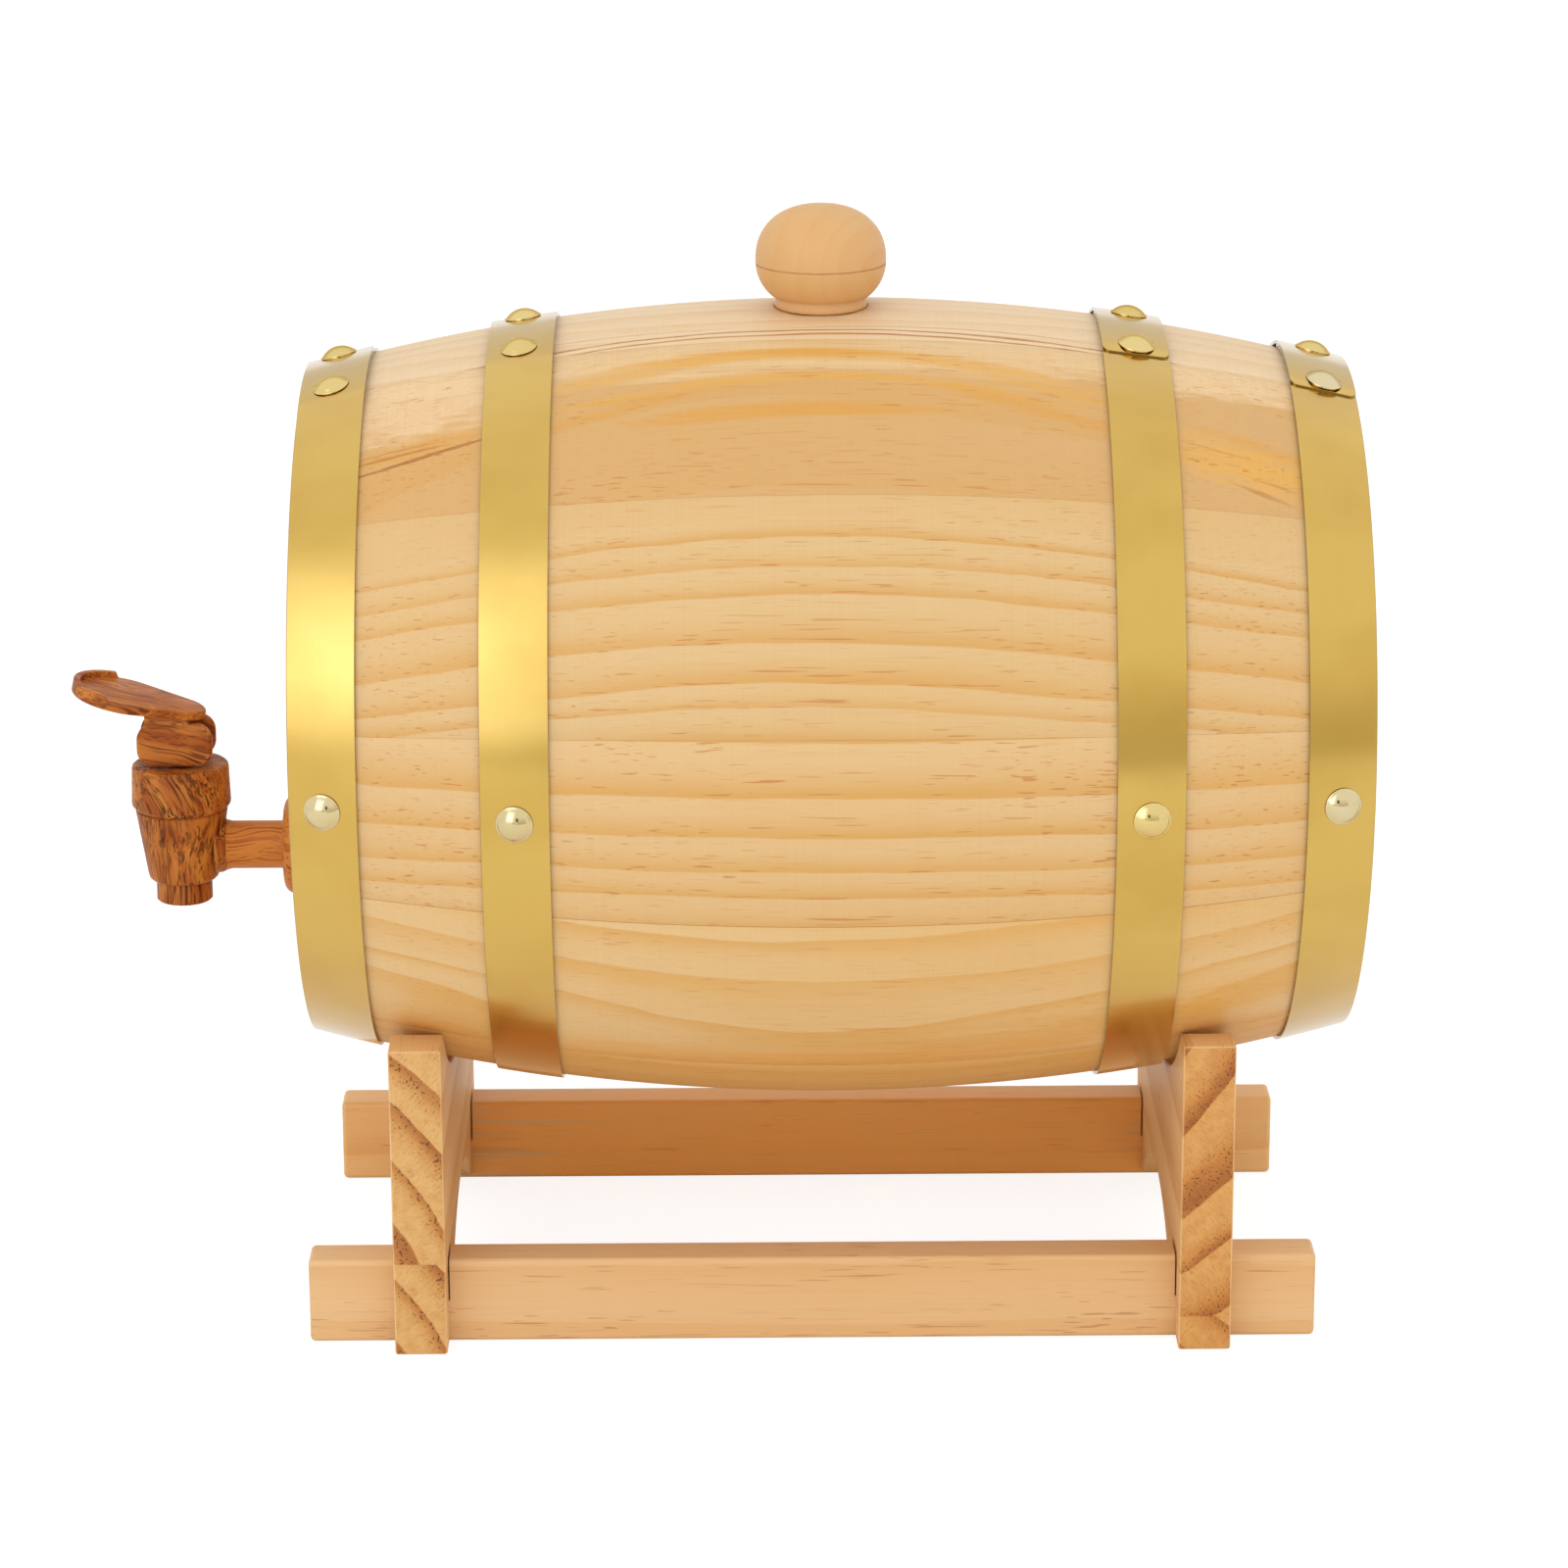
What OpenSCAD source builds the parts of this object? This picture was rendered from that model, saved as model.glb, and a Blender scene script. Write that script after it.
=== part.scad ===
// Wooden barrel dispenser: staves and hoops on two cradles, with a bung and a lever tap
// Millimetres. X runs along the barrel with the tap at -X, -Y is the near side, Z is up.

/* [Barrel] */
// Length of the barrel between its two ends
barrel_l = 340; // [260:1:480]
// Outside diameter of the staves at the belly
belly_d = 263; // [200:1:360]
// Outside diameter of the staves at the two ends
end_d = 217.6; // [160:0.1:320]
// Thickness of the staves
stave_t = 15; // [11:0.5:22]
// Gap between two staves at the belly
stave_gap = 0.1; // [0.05:0.01:0.3]
// Width of the top stave, in degrees of the barrel
stave_deg_top = 29.8; // [26:0.1:38]
// Width of the first stave on the near side, in degrees
stave_deg_2 = 31.5; // [26:0.1:38]
// Width of the second stave on the near side, in degrees
stave_deg_3 = 34.3; // [26:0.1:38]
// Width of the third stave on the near side, in degrees
stave_deg_4 = 27.3; // [26:0.1:38]
// Width of the fourth stave on the near side, in degrees
stave_deg_5 = 32; // [26:0.1:38]

/* [Heads] */
// Thickness of each head
head_t = 12; // [8:0.5:18]
// Depth of a head's face inside the end of the barrel
head_recess = 6; // [4:0.5:20]
// Depth of the groove that holds a head
croze_depth = 4; // [2:0.5:6]
// Gap between a head and its groove
head_fit = 0.1; // [0.05:0.01:0.3]

/* [Hoops] */
// Width of a hoop
hoop_w = 21.5; // [14:0.5:30]
// Thickness of a hoop
hoop_t = 1.2; // [0.8:0.1:2]
// Gap between a hoop and the staves
hoop_fit = 0.05; // [0.02:0.01:0.1]
// Distance from the barrel's end to the end hoop's edge
hoop_inset = 0.3; // [0:0.1:6]
// Place of a bilge hoop's middle, as a share of the barrel's length
bilge_share = 0.29; // [0.22:0.005:0.32]
// Place of the hoop seams, in degrees from the top
seam_deg = 4.5; // [0:0.5:8]
// Distance between the two rivets of a seam
rivet_pitch = 35; // [20:0.5:40]
// Length of a lapped hoop end beyond its rivet
lap_lead = 8; // [6.5:0.5:12]

/* [Rivets and nails] */
// Diameter of the domed heads
dome_d = 12; // [7:0.5:13]
// Height of the domed heads
dome_h = 3; // [1.5:0.1:4]
// Diameter of the shanks
shank_d = 3; // [2:0.1:4]
// Gap around a shank
shank_fit = 0.05; // [0.02:0.01:0.2]
// Place of the nails, in degrees from the top
nail_deg = 93; // [86:0.5:98]
// Length of a nail's shank under its head
nail_l = 11; // [7:0.5:14]

/* [Bung] */
// Distance from the barrel's middle to the bung
bung_x = -1.8; // [-20:0.1:20]
// Widest diameter of the bung's knob
knob_d = 42.8; // [34:0.1:56]
// Height of the knob's crown above its widest line
crown_h = 18.2; // [10:0.1:26]
// Height of the knob's widest line above the barrel
waist_h = 14.6; // [12:0.1:24]
// Radius of the knob's lower curve
belly_r = 17; // [14:0.1:20]
// Diameter of the knob's foot
foot_d = 30.2; // [27:0.1:40]
// Height of the knob's foot
foot_h = 2.2; // [1:0.1:4]
// Diameter of the hole for the bung
hole_d = 25.4; // [18:0.1:30]
// Length of the bung's plug below its foot
plug_l = 24; // [16:0.5:34]
// Taper of the plug on each side
plug_taper = 1.4; // [0.6:0.1:3]
// Depth of the flat cut for the foot
seat_depth = 0.9; // [0.6:0.1:2]
// Gap between the bung and its hole
bung_fit = 0.3; // [0.2:0.05:0.5]

/* [Tap] */
// Distance from the barrel's end to the tap's upright axis
tap_reach = 45.6; // [36:0.1:70]
// Drop of the tap below the barrel's axis
tap_drop = 51; // [20:0.5:66]
// Diameter of the threaded shank
tap_shank_d = 16; // [14:0.1:20]
// Diameter of the passage in the shank
passage_d = 9; // [6:0.1:10]
// Diameter of the flange
flange_d = 33; // [28:0.1:44]
// Distance from the barrel's end to the flange's front
flange_out = 11.4; // [5:0.1:16]
// Thickness of a gasket
gasket_t = 2; // [1.2:0.1:3]
// Diameter of the tap's body at its top
body_top_d = 30.6; // [30:0.1:36]
// Diameter of the tap's body at its bottom
body_low_d = 23.6; // [22:0.1:28]
// Height of the body's top above the shank's axis
body_up = 13.5; // [11:0.1:20]
// Depth of the body's bottom below the shank's axis
body_down = 11.3; // [11:0.1:16]
// Diameter of the spout
spout_d = 18.6; // [17:0.1:22]
// Length of the spout below the body
spout_l = 7.4; // [4:0.1:20]
// Diameter of the outlet in the spout
outlet_d = 12.4; // [8:0.1:13]
// Diameter of the chamber in the body
chamber_d = 20; // [18.5:0.1:22]
// Height of the neck inside the bonnet
neck_h = 8.5; // [7:0.1:12]
// Diameter of the bonnet
bonnet_d = 33; // [32.5:0.1:40]
// Height of the bonnet
bonnet_h = 15.1; // [14.5:0.1:20]
// Thickness of the bonnet's top
bonnet_top = 3; // [2:0.1:4]
// Diameter of the valve stem
stem_d = 8; // [6.5:0.1:9]
// Radial gap of the stem in the bonnet
stem_fit = 0.06; // [0.02:0.01:0.1]
// Gap between the tap's fixed pieces
tap_fit = 0.1; // [0.05:0.01:0.2]

/* [Lever] */
// Reach of the lever from the tap's axis
lever_reach = 35.1; // [28:0.1:60]
// Tilt of the paddle
lever_tilt = 13; // [6:0.5:20]
// Width of the paddle
paddle_w = 33; // [24:0.5:40]
// Width of the paddle's inner end
heel_w = 18; // [16:0.5:24]
// Reach of the paddle's heel behind the pivot
heel_reach = 5.1; // [4:0.1:8]
// Thickness of the paddle
paddle_t = 3; // [2:0.1:5]
// Height of the rim around the paddle's outer end
rim_h = 1.8; // [0.5:0.1:3]
// Thickness of that rim
rim_t = 2.2; // [1:0.1:4]
// Length of the rim from the paddle's tip
rim_l = 13.4; // [8:0.1:20]
// Distance from the pivot to the flat under the cheeks
cam_h = 8; // [7:0.1:9.5]
// Gap between that flat and the bonnet
cam_gap = 0.75; // [0.7:0.05:1.2]
// Radius of the cheeks' corners
cam_r = 5.5; // [3:0.1:6]
// Distance from the pivot to the middle of the rear corner
cam_out = 4.1; // [3:0.1:5.6]
// Length of the cheeks ahead of the pivot
cam_front = 15.4; // [12:0.1:18]
// Distance from the tap's axis to the pivot
pivot_x = 2; // [0:0.1:3]
// Diameter of the stem's trunnions
trunnion_d = 4; // [3:0.1:5]
// Radial gap of the trunnions in the cheeks
trunnion_fit = 0.06; // [0.02:0.01:0.1]
// Thickness of a cheek
cheek_t = 4; // [3:0.1:5]
// Step from a cheek's face back to the web above it
web_step = 1.4; // [0.6:0.1:2]
// Step from the cheeks' front back to the web's front
web_front = 3; // [1:0.1:5]
// Gap between a cheek and the stem's head
cheek_gap = 0.3; // [0.2:0.05:0.5]

/* [Stand] */
// Clear height under the barrel's belly
belly_clear = 65; // [50:1:120]
// Distance between the two cradles, as a share of the barrel's length
cradle_share = 0.7; // [0.69:0.005:0.75]
// Thickness of a cradle
cradle_t = 17; // [10:0.5:20]
// Shift of the stand from the barrel's middle towards the tap
stand_shift = 6.3; // [0:0.1:7]
// Place where the horns carry the barrel, in degrees from its bottom
hug_deg = 40.5; // [34:0.5:48]
// Width of a horn's flat top
horn_w = 15.2; // [10:0.1:24]
// Drop of the arch's centre below the barrel's axis
arch_drop = 8; // [3:0.5:12]
// Gap between the horns and the barrel
rest_gap = 0.35; // [0.3:0.05:0.6]
// Half width of the opening between a cradle's feet
foot_gap = 68.4; // [50:0.1:72]
// Height of the opening between a cradle's feet
foot_rise = 26; // [15:0.5:34]
// Depth of a rail
rail_w = 15; // [10:0.5:20]
// Height of a rail
rail_h = 28.6; // [18:0.1:34]
// Distance from a cradle's edge to the rail
rail_set = 11.5; // [8:0.5:18]
// Length of a rail beyond the cradles
rail_over = 28.5; // [10:0.5:40]
// Chamfer along a rail's edges
rail_edge = 1; // [0.3:0.1:2]
// Gap between a rail and its notch
notch_fit = 0.15; // [0.05:0.05:0.4]

/* [View] */
// Name of the one node to build, or all

/* [Hidden] */
$fn = 120;
eps = 0.01;

// Barrel shape: one arc for the outside, one around the same centre for the inside
half_l = barrel_l / 2;
belly_rad = belly_d / 2;
sag = (belly_d - end_d) / 2;
arc_r = (half_l * half_l + sag * sag) / (2 * sag);
arc_c = belly_rad - arc_r;
function stave_out(x) = arc_c + sqrt(arc_r * arc_r - x * x);
function stave_in(x) = arc_c + sqrt((arc_r - stave_t) * (arc_r - stave_t) - x * x);

// Stave joints, in degrees from the top and turning to the near side
stave_count = 11;
near_sum = stave_deg_top + stave_deg_2 + stave_deg_3 + stave_deg_4 + stave_deg_5;
far_deg = (360 - near_sum) / 6;
j1 = stave_deg_top / 2;
j2 = j1 + stave_deg_2;
j3 = j2 + stave_deg_3;
j4 = j3 + stave_deg_4;
j5 = j4 + stave_deg_5;
far_joints = [for (i = [1:6]) j5 + i * far_deg];
joints = concat([-j1, j1, j2, j3, j4, j5], far_joints);
gap_deg = stave_gap / belly_rad * 180 / PI;

// Heads
head_out_x = half_l - head_recess;
head_in_x = head_out_x - head_t;
croze_r = stave_in(head_in_x) + croze_depth;
head_r = croze_r - head_fit;

// Hoops
bilge_x = bilge_share * barrel_l;
end_hoop_x = half_l - hoop_inset - hoop_w / 2;
hoop_out = hoop_fit + hoop_t;
lap_out = hoop_out + hoop_t;
lap_w = hoop_w - 0.2;

// Places in the whole frame
axis_z = belly_rad + belly_clear;
barrel_x = (tap_reach + lever_reach) / 2;
tap_x = barrel_x - half_l - tap_reach;
tap_z = axis_z - tap_drop;

// Tap heights above the shank's axis
bonnet_z = body_up + bonnet_h;
neck_z = body_up + neck_h;
lid_z = bonnet_z - bonnet_top;
seat_z = -body_down + 7;
seat_low_z = seat_z - (chamber_d - outlet_d) / 2;
pivot_z = bonnet_z + cam_gap + cam_h;
bonnet_bore = body_top_d / 2 - 1.8;
shank_end = tap_reach + head_recess + head_t + 2 * gasket_t + 13;
gasket_x = tap_reach + head_recess - gasket_t;
nut_x = tap_reach + head_recess + head_t + gasket_t;
nut_t = 8;

// Lever sizes along the tilted paddle
stem_half = stem_d / 2 - 0.1;
cheek_in = stem_half + cheek_gap;
cheek_out = cheek_in + cheek_t;
paddle_low = cam_h;
paddle_end = (lever_reach + pivot_x + paddle_low * sin(lever_tilt)) / cos(lever_tilt);
toe_r = paddle_w / 2;
heel_r = heel_w / 2;
toe_s = paddle_end - toe_r;
heel_s = heel_r - heel_reach;
rim_s = paddle_end - rim_l;
web_out = cheek_out - web_step;
web_end = sqrt(heel_r * heel_r - web_out * web_out) - heel_s - web_step / 2;

// Stand
stand_x = barrel_x - stand_shift;
cradle_in = cradle_share * barrel_l / 2;
mean_r = stave_out(cradle_in) + rest_gap;
horn_drop = mean_r * cos(hug_deg);
horn_z = axis_z - horn_drop;
cradle_half = mean_r * sin(hug_deg) + horn_w;
rail_y = cradle_half - rail_set;
rail_half = cradle_in + cradle_t + rail_over;

pine = [0.87, 0.68, 0.42];
brass = [0.83, 0.66, 0.27];
dark_wood = [0.48, 0.25, 0.11];
clear_rubber = [0.85, 0.85, 0.82];

// Frames

module in_barrel() {
  translate([barrel_x, 0, axis_z]) children();
}

module in_tap() {
  translate([tap_x, 0, tap_z]) children();
}

// A revolved piece with its axis along X; degrees run from the top to the near side
module barrel_turn(from_deg, to_deg) {
  rotate([0, -90, 0])
    rotate([0, 0, -to_deg])
      rotate_extrude(angle = to_deg - from_deg, $fn = 240)
        children();
}

// Something that stands on the barrel's outside at x and a number of degrees from the top
module on_barrel(x, deg, h) {
  rotate([deg, 0, 0])
    translate([0, 0, arc_c])
      rotate([0, asin(x / arc_r), 0])
        translate([0, 0, arc_r + h])
          children();
}

// Section of the barrel's wall between two depths under its outside, from x0 to x1
module wall_section(out, inn, x0, x1) {
  intersection() {
    difference() {
      translate([arc_c, 0]) circle(r = arc_r + out, $fn = 720);
      translate([arc_c, 0]) circle(r = arc_r + inn, $fn = 720);
    }
    translate([belly_rad / 2, x0]) square([belly_rad, x1 - x0]);
  }
}

module stave_section() {
  difference() {
    wall_section(0, -stave_t, -half_l, half_l);
    translate([0, head_in_x - head_fit]) square([croze_r, head_t + 2 * head_fit]);
    translate([0, -head_out_x - head_fit]) square([croze_r, head_t + 2 * head_fit]);
  }
}

// Holes for the nails of one side
module nail_holes(deg) {
  for (x = [-end_hoop_x, -bilge_x, bilge_x, end_hoop_x])
    on_barrel(x, deg, -nail_l - 0.5)
      cylinder(d = shank_d + 2 * shank_fit, h = nail_l + 6, $fn = 32);
}

module stave(i) {
  color(pine)
    in_barrel()
      barrel_turn(joints[i] + gap_deg / 2, joints[i + 1] - gap_deg / 2)
        stave_section();
}

module holed_stave(i) {
  difference() {
    stave(i);
    in_barrel() nail_holes(nail_deg);
    in_barrel() nail_holes(-nail_deg);
  }
}

module stave_01() {
  color(pine)
    difference() {
      stave(0);
      in_barrel() translate([bung_x, 0, 0]) cylinder(d = hole_d, h = belly_d, $fn = 96);
      in_barrel()
        translate([bung_x, 0, belly_rad - seat_depth])
          cylinder(d = foot_d + 2 * bung_fit, h = stave_t, $fn = 96);
    }
}

module stave_02() {
  stave(1);
}

module stave_03() {
  holed_stave(2);
}

module stave_04() {
  holed_stave(3);
}

module stave_05() {
  stave(4);
}

module stave_06() {
  stave(5);
}

module stave_07() {
  stave(6);
}

module stave_08() {
  stave(7);
}

module stave_09() {
  holed_stave(8);
}

module stave_10() {
  stave(9);
}

module stave_11() {
  stave(10);
}

// Heads

module head_disc(x) {
  translate([x, 0, 0])
    rotate([0, 90, 0])
      cylinder(r = head_r, h = head_t, $fn = 240);
}

module tap_head() {
  color(pine)
    difference() {
      in_barrel() head_disc(-head_out_x);
      in_tap() rotate([0, 90, 0]) cylinder(d = tap_shank_d + 4 * tap_fit, h = shank_end + 40);
    }
}

module back_head() {
  color(pine) in_barrel() head_disc(head_in_x);
}

// Hoops: a ring, and the second layer where its ends are lapped

module hoop(x) {
  r_seam = stave_out(x);
  lap_deg = (rivet_pitch / 2 + lap_lead) / r_seam * 180 / PI;
  rivet_deg = rivet_pitch / 2 / r_seam * 180 / PI;
  color(brass)
    in_barrel()
      difference() {
        union() {
          barrel_turn(180, 540)
            wall_section(hoop_out, hoop_fit, -x - hoop_w / 2, -x + hoop_w / 2);
          barrel_turn(seam_deg - lap_deg, seam_deg + lap_deg)
            wall_section(lap_out, hoop_fit + hoop_t / 2, -x - lap_w / 2, -x + lap_w / 2);
        }
        for (deg = [seam_deg - rivet_deg, seam_deg + rivet_deg, nail_deg, -nail_deg])
          on_barrel(x, deg, -3)
            cylinder(d = shank_d + 2 * shank_fit, h = 12, $fn = 32);
      }
}

module tap_end_hoop() {
  hoop(-end_hoop_x);
}

module tap_bilge_hoop() {
  hoop(-bilge_x);
}

module back_bilge_hoop() {
  hoop(bilge_x);
}

module back_end_hoop() {
  hoop(end_hoop_x);
}

// Domed fasteners

module dome_section(below) {
  ball_r = (dome_d * dome_d / 4 + dome_h * dome_h) / (2 * dome_h);
  intersection() {
    translate([0, dome_h - ball_r]) circle(r = ball_r);
    square([dome_d, dome_h]);
  }
  translate([0, -below]) square([shank_d / 2, below + eps]);
}

module domed(below) {
  rotate_extrude($fn = 48) dome_section(below);
}

module seam_rivets() {
  color(brass)
    in_barrel()
      for (x = [-end_hoop_x, -bilge_x, bilge_x, end_hoop_x])
        for (side = [-1, 1])
          on_barrel(x, seam_deg + side * rivet_pitch / 2 / stave_out(x) * 180 / PI, lap_out)
            domed(2 * hoop_t);
}

module hoop_nails() {
  color(brass)
    in_barrel()
      for (x = [-end_hoop_x, -bilge_x, bilge_x, end_hoop_x])
        for (side = [-1, 1])
          on_barrel(x, side * nail_deg, hoop_out)
            domed(nail_l);
}

// Bung: a turned knob over a tapered plug

function crown_point(a, r, h) = [r * cos(a), h * sin(a)];

module bung_section() {
  foot_z = -seat_depth + bung_fit;
  top_r = knob_d / 2;
  crown = [for (a = [0:6:84]) crown_point(a, top_r, crown_h)];
  translate([0, waist_h])
    polygon(concat([[0, 0]], crown, [[0, crown_h]]));
  intersection() {
    union() {
      translate([top_r - belly_r, waist_h]) circle(r = belly_r, $fn = 120);
      square([top_r - belly_r, waist_h]);
    }
    translate([0, foot_z + foot_h]) square([top_r, waist_h - foot_z - foot_h]);
  }
  translate([0, foot_z + foot_h - 1.4]) square([foot_d / 2 - 0.7, 4]);
  translate([0, foot_z]) square([foot_d / 2, foot_h]);
  polygon([
    [0, foot_z + 1],
    [0, foot_z - plug_l],
    [hole_d / 2 - bung_fit - plug_taper, foot_z - plug_l],
    [hole_d / 2 - bung_fit, foot_z],
    [hole_d / 2 - bung_fit, foot_z + 1]
  ]);
}

module bung() {
  color(pine)
    in_barrel()
      translate([bung_x, 0, belly_rad])
        rotate_extrude($fn = 96)
          intersection() {
            bung_section();
            translate([0, -100]) square([100, 200]);
          }
}

// Tap

module body_section() {
  low_z = -body_down - spout_l;
  neck_r = bonnet_bore - tap_fit;
  polygon([
    [0, low_z],
    [spout_d / 2 - 0.5, low_z],
    [spout_d / 2, low_z + 0.5],
    [spout_d / 2, -body_down],
    [body_low_d / 2 - 1.6, -body_down],
    [body_low_d / 2 - 0.4, -body_down + 0.8],
    [body_low_d / 2, -body_down + 2.2],
    [body_top_d / 2, body_up - tap_fit],
    [neck_r, body_up - tap_fit],
    [neck_r, neck_z],
    [0, neck_z]
  ]);
}

module chamber_section() {
  polygon([
    [0, neck_z + 1],
    [chamber_d / 2, neck_z + 1],
    [chamber_d / 2, seat_z],
    [outlet_d / 2, seat_low_z],
    [outlet_d / 2, -body_down - spout_l - 1],
    [0, -body_down - spout_l - 1]
  ]);
}

// Flange with a rounded front edge, turned about X from the tap's axis
module flange_section() {
  front = tap_reach - flange_out;
  edge = 3.4;
  arc = [for (a = [0:15:90]) [flange_d / 2 - edge + edge * sin(a), front + edge - edge * cos(a)]];
  polygon(concat([[0, front]], arc, [[flange_d / 2, gasket_x - tap_fit], [0, gasket_x - tap_fit]]));
}

module tap_body() {
  color(dark_wood)
    in_tap()
      difference() {
        union() {
          rotate_extrude() body_section();
          rotate([0, 90, 0]) cylinder(d = tap_shank_d, h = shank_end);
          rotate([0, 90, 0]) rotate_extrude() flange_section();
        }
        rotate_extrude() chamber_section();
        rotate([0, 90, 0]) cylinder(d = passage_d, h = shank_end + 1);
      }
}

module shank_ring(x, t, d) {
  in_tap()
    translate([x, 0, 0])
      rotate([0, 90, 0])
        difference() {
          cylinder(d = d, h = t);
          translate([0, 0, -1]) cylinder(d = tap_shank_d + 2 * tap_fit, h = t + 2);
        }
}

module outer_gasket() {
  color(clear_rubber) shank_ring(gasket_x, gasket_t - tap_fit, flange_d - 4);
}

module inner_gasket() {
  color(clear_rubber) shank_ring(gasket_x + gasket_t + head_t + tap_fit, gasket_t - tap_fit, flange_d - 4);
}

module tap_nut() {
  color(dark_wood)
    in_tap()
      translate([nut_x + tap_fit, 0, 0])
        rotate([0, 90, 0])
          difference() {
            union() {
              cylinder(d = 30, h = nut_t, $fn = 6);
              cylinder(d = 29, h = 2);
            }
            translate([0, 0, -1]) cylinder(d = tap_shank_d + 2 * tap_fit, h = nut_t + 2);
          }
}

module bonnet() {
  r = bonnet_d / 2;
  color(dark_wood)
    in_tap()
      rotate_extrude()
        polygon([
          [bonnet_bore, body_up],
          [r - 1.2, body_up],
          [r, body_up + 1.6],
          [r - 0.4, bonnet_z - 0.8],
          [r - 1.2, bonnet_z],
          [stem_d / 2 + stem_fit, bonnet_z],
          [stem_d / 2 + stem_fit, lid_z],
          [bonnet_bore, lid_z]
        ]);
}

// Soft cup: its rim is held under the bonnet and its foot closes the seat
module seat_cup() {
  rim_r = bonnet_bore - tap_fit;
  hollow = stem_d / 2 + 0.4;
  wall = hollow + 1.6;
  bulb = chamber_d / 2 - 2.2;
  low_r = outlet_d / 2 - 0.6;
  lift = 0.25;
  color(clear_rubber)
    in_tap()
      rotate_extrude()
        polygon([
          [0, seat_low_z - 0.6],
          [low_r - 2, seat_low_z - 0.6],
          [low_r, seat_low_z - 0.6 + lift],
          [bulb, seat_z - 2.2 + lift],
          [bulb, seat_z + 4],
          [wall, seat_z + 7],
          [wall, neck_z - 2],
          [wall + 1.4, neck_z + tap_fit],
          [rim_r, neck_z + tap_fit],
          [rim_r, lid_z - tap_fit],
          [hollow, lid_z - tap_fit],
          [hollow, seat_z + 2.2],
          [0, seat_z + 2.2]
        ]);
}

module valve_stem() {
  foot_z = seat_z + 2.4;
  guide_z = lid_z - 9;
  color(dark_wood)
    in_tap() {
      rotate_extrude()
        polygon([
          [0, foot_z],
          [stem_d / 2 - 0.1, foot_z],
          [stem_d / 2 - 0.1, foot_z + 2.4],
          [stem_d / 2 - 1.4, foot_z + 3.2],
          [stem_d / 2 - 1.4, guide_z - 1.4],
          [stem_d / 2, guide_z],
          [stem_d / 2, bonnet_z + cam_gap + 1],
          [0, bonnet_z + cam_gap + 1]
        ]);
      intersection() {
        translate([0, 0, bonnet_z + cam_gap]) cylinder(d = stem_d, h = cam_h);
        translate([-20, -stem_half, bonnet_z + cam_gap]) cube([40, 2 * stem_half, cam_h]);
      }
      translate([pivot_x, 0, pivot_z])
        rotate([90, 0, 0]) {
          cylinder(d = stem_d + 1.6, h = 2 * stem_half, center = true);
          cylinder(d = trunnion_d, h = 2 * cheek_out - 2, center = true, $fn = 48);
        }
    }
}

// Lever: a rimmed paddle over two cam cheeks. X and Y of the sections are the tap's X and Z.

module round_box(x0, x1, y0, y1, r) {
  translate([x0 + r, y0]) square([x1 - x0 - 2 * r, y1 - y0]);
  translate([x0, y0 + r]) square([x1 - x0, y1 - y0 - 2 * r]);
  for (x = [x0 + r, x1 - r])
    for (y = [y0 + r, y1 - r])
      translate([x, y]) circle(r = r, $fn = 64);
}

module cheek_section() {
  round_box(-cam_front, cam_out + cam_r, -cam_h, cam_h - 1.5, cam_r);
}

// Web from a cheek up into the paddle
module web_section() {
  mid = paddle_low + 0.5 * paddle_t;
  rise = sin(lever_tilt) / cos(lever_tilt);
  front = -cam_front + web_front;
  polygon([
    [front, 0],
    [web_end, 0],
    [web_end, mid / cos(lever_tilt) - rise * web_end],
    [front, mid / cos(lever_tilt) - rise * front]
  ]);
}

// Plan of the paddle, with its long direction along -X
module paddle_plan(inset) {
  far = toe_s - heel_s;
  lean = asin((toe_r - heel_r) / far);
  tr = toe_r - inset;
  hr = heel_r - inset;
  translate([-toe_s, 0]) circle(r = tr, $fn = 120);
  translate([-heel_s, 0]) circle(r = hr, $fn = 120);
  // The straight sides run just inside both circles, so that they cross them cleanly
  ts = tr - 0.03;
  hs = hr - 0.03;
  polygon([
    [-toe_s - ts * sin(lean), ts * cos(lean)],
    [-heel_s - hs * sin(lean), hs * cos(lean)],
    [-heel_s - hs * sin(lean), -hs * cos(lean)],
    [-toe_s - ts * sin(lean), -ts * cos(lean)]
  ]);
}

module lever() {
  color(dark_wood)
    in_tap()
      translate([pivot_x, 0, pivot_z])
        difference() {
          union() {
            for (y = [-cheek_out, cheek_in])
              translate([0, y + cheek_t, 0])
                rotate([90, 0, 0])
                  linear_extrude(cheek_t) cheek_section();
            for (y = [-web_out, cheek_in])
              translate([0, y + cheek_t - web_step, 0])
                rotate([90, 0, 0])
                  linear_extrude(cheek_t - web_step) web_section();
            rotate([0, lever_tilt, 0])
              translate([0, 0, paddle_low])
                linear_extrude(paddle_t) paddle_plan(0);
            rotate([0, lever_tilt, 0])
              translate([0, 0, paddle_low])
                linear_extrude(paddle_t + rim_h)
                  intersection() {
                    difference() {
                      paddle_plan(0);
                      paddle_plan(rim_t);
                    }
                    translate([-paddle_end - 1, -paddle_w]) square([paddle_end + 1 - rim_s, 2 * paddle_w]);
                  }
          }
          rotate([90, 0, 0])
            cylinder(d = trunnion_d + 2 * trunnion_fit, h = 2 * cheek_out - 1.6, center = true, $fn = 48);
        }
}

// Stand. The cradle's section has Y across and Z up.

// Arch between the feet, down to the floor on both sides
module foot_opening() {
  rad = (foot_gap * foot_gap + foot_rise * foot_rise) / (2 * foot_rise);
  translate([0, foot_rise - rad]) circle(r = rad, $fn = 240);
}

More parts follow.
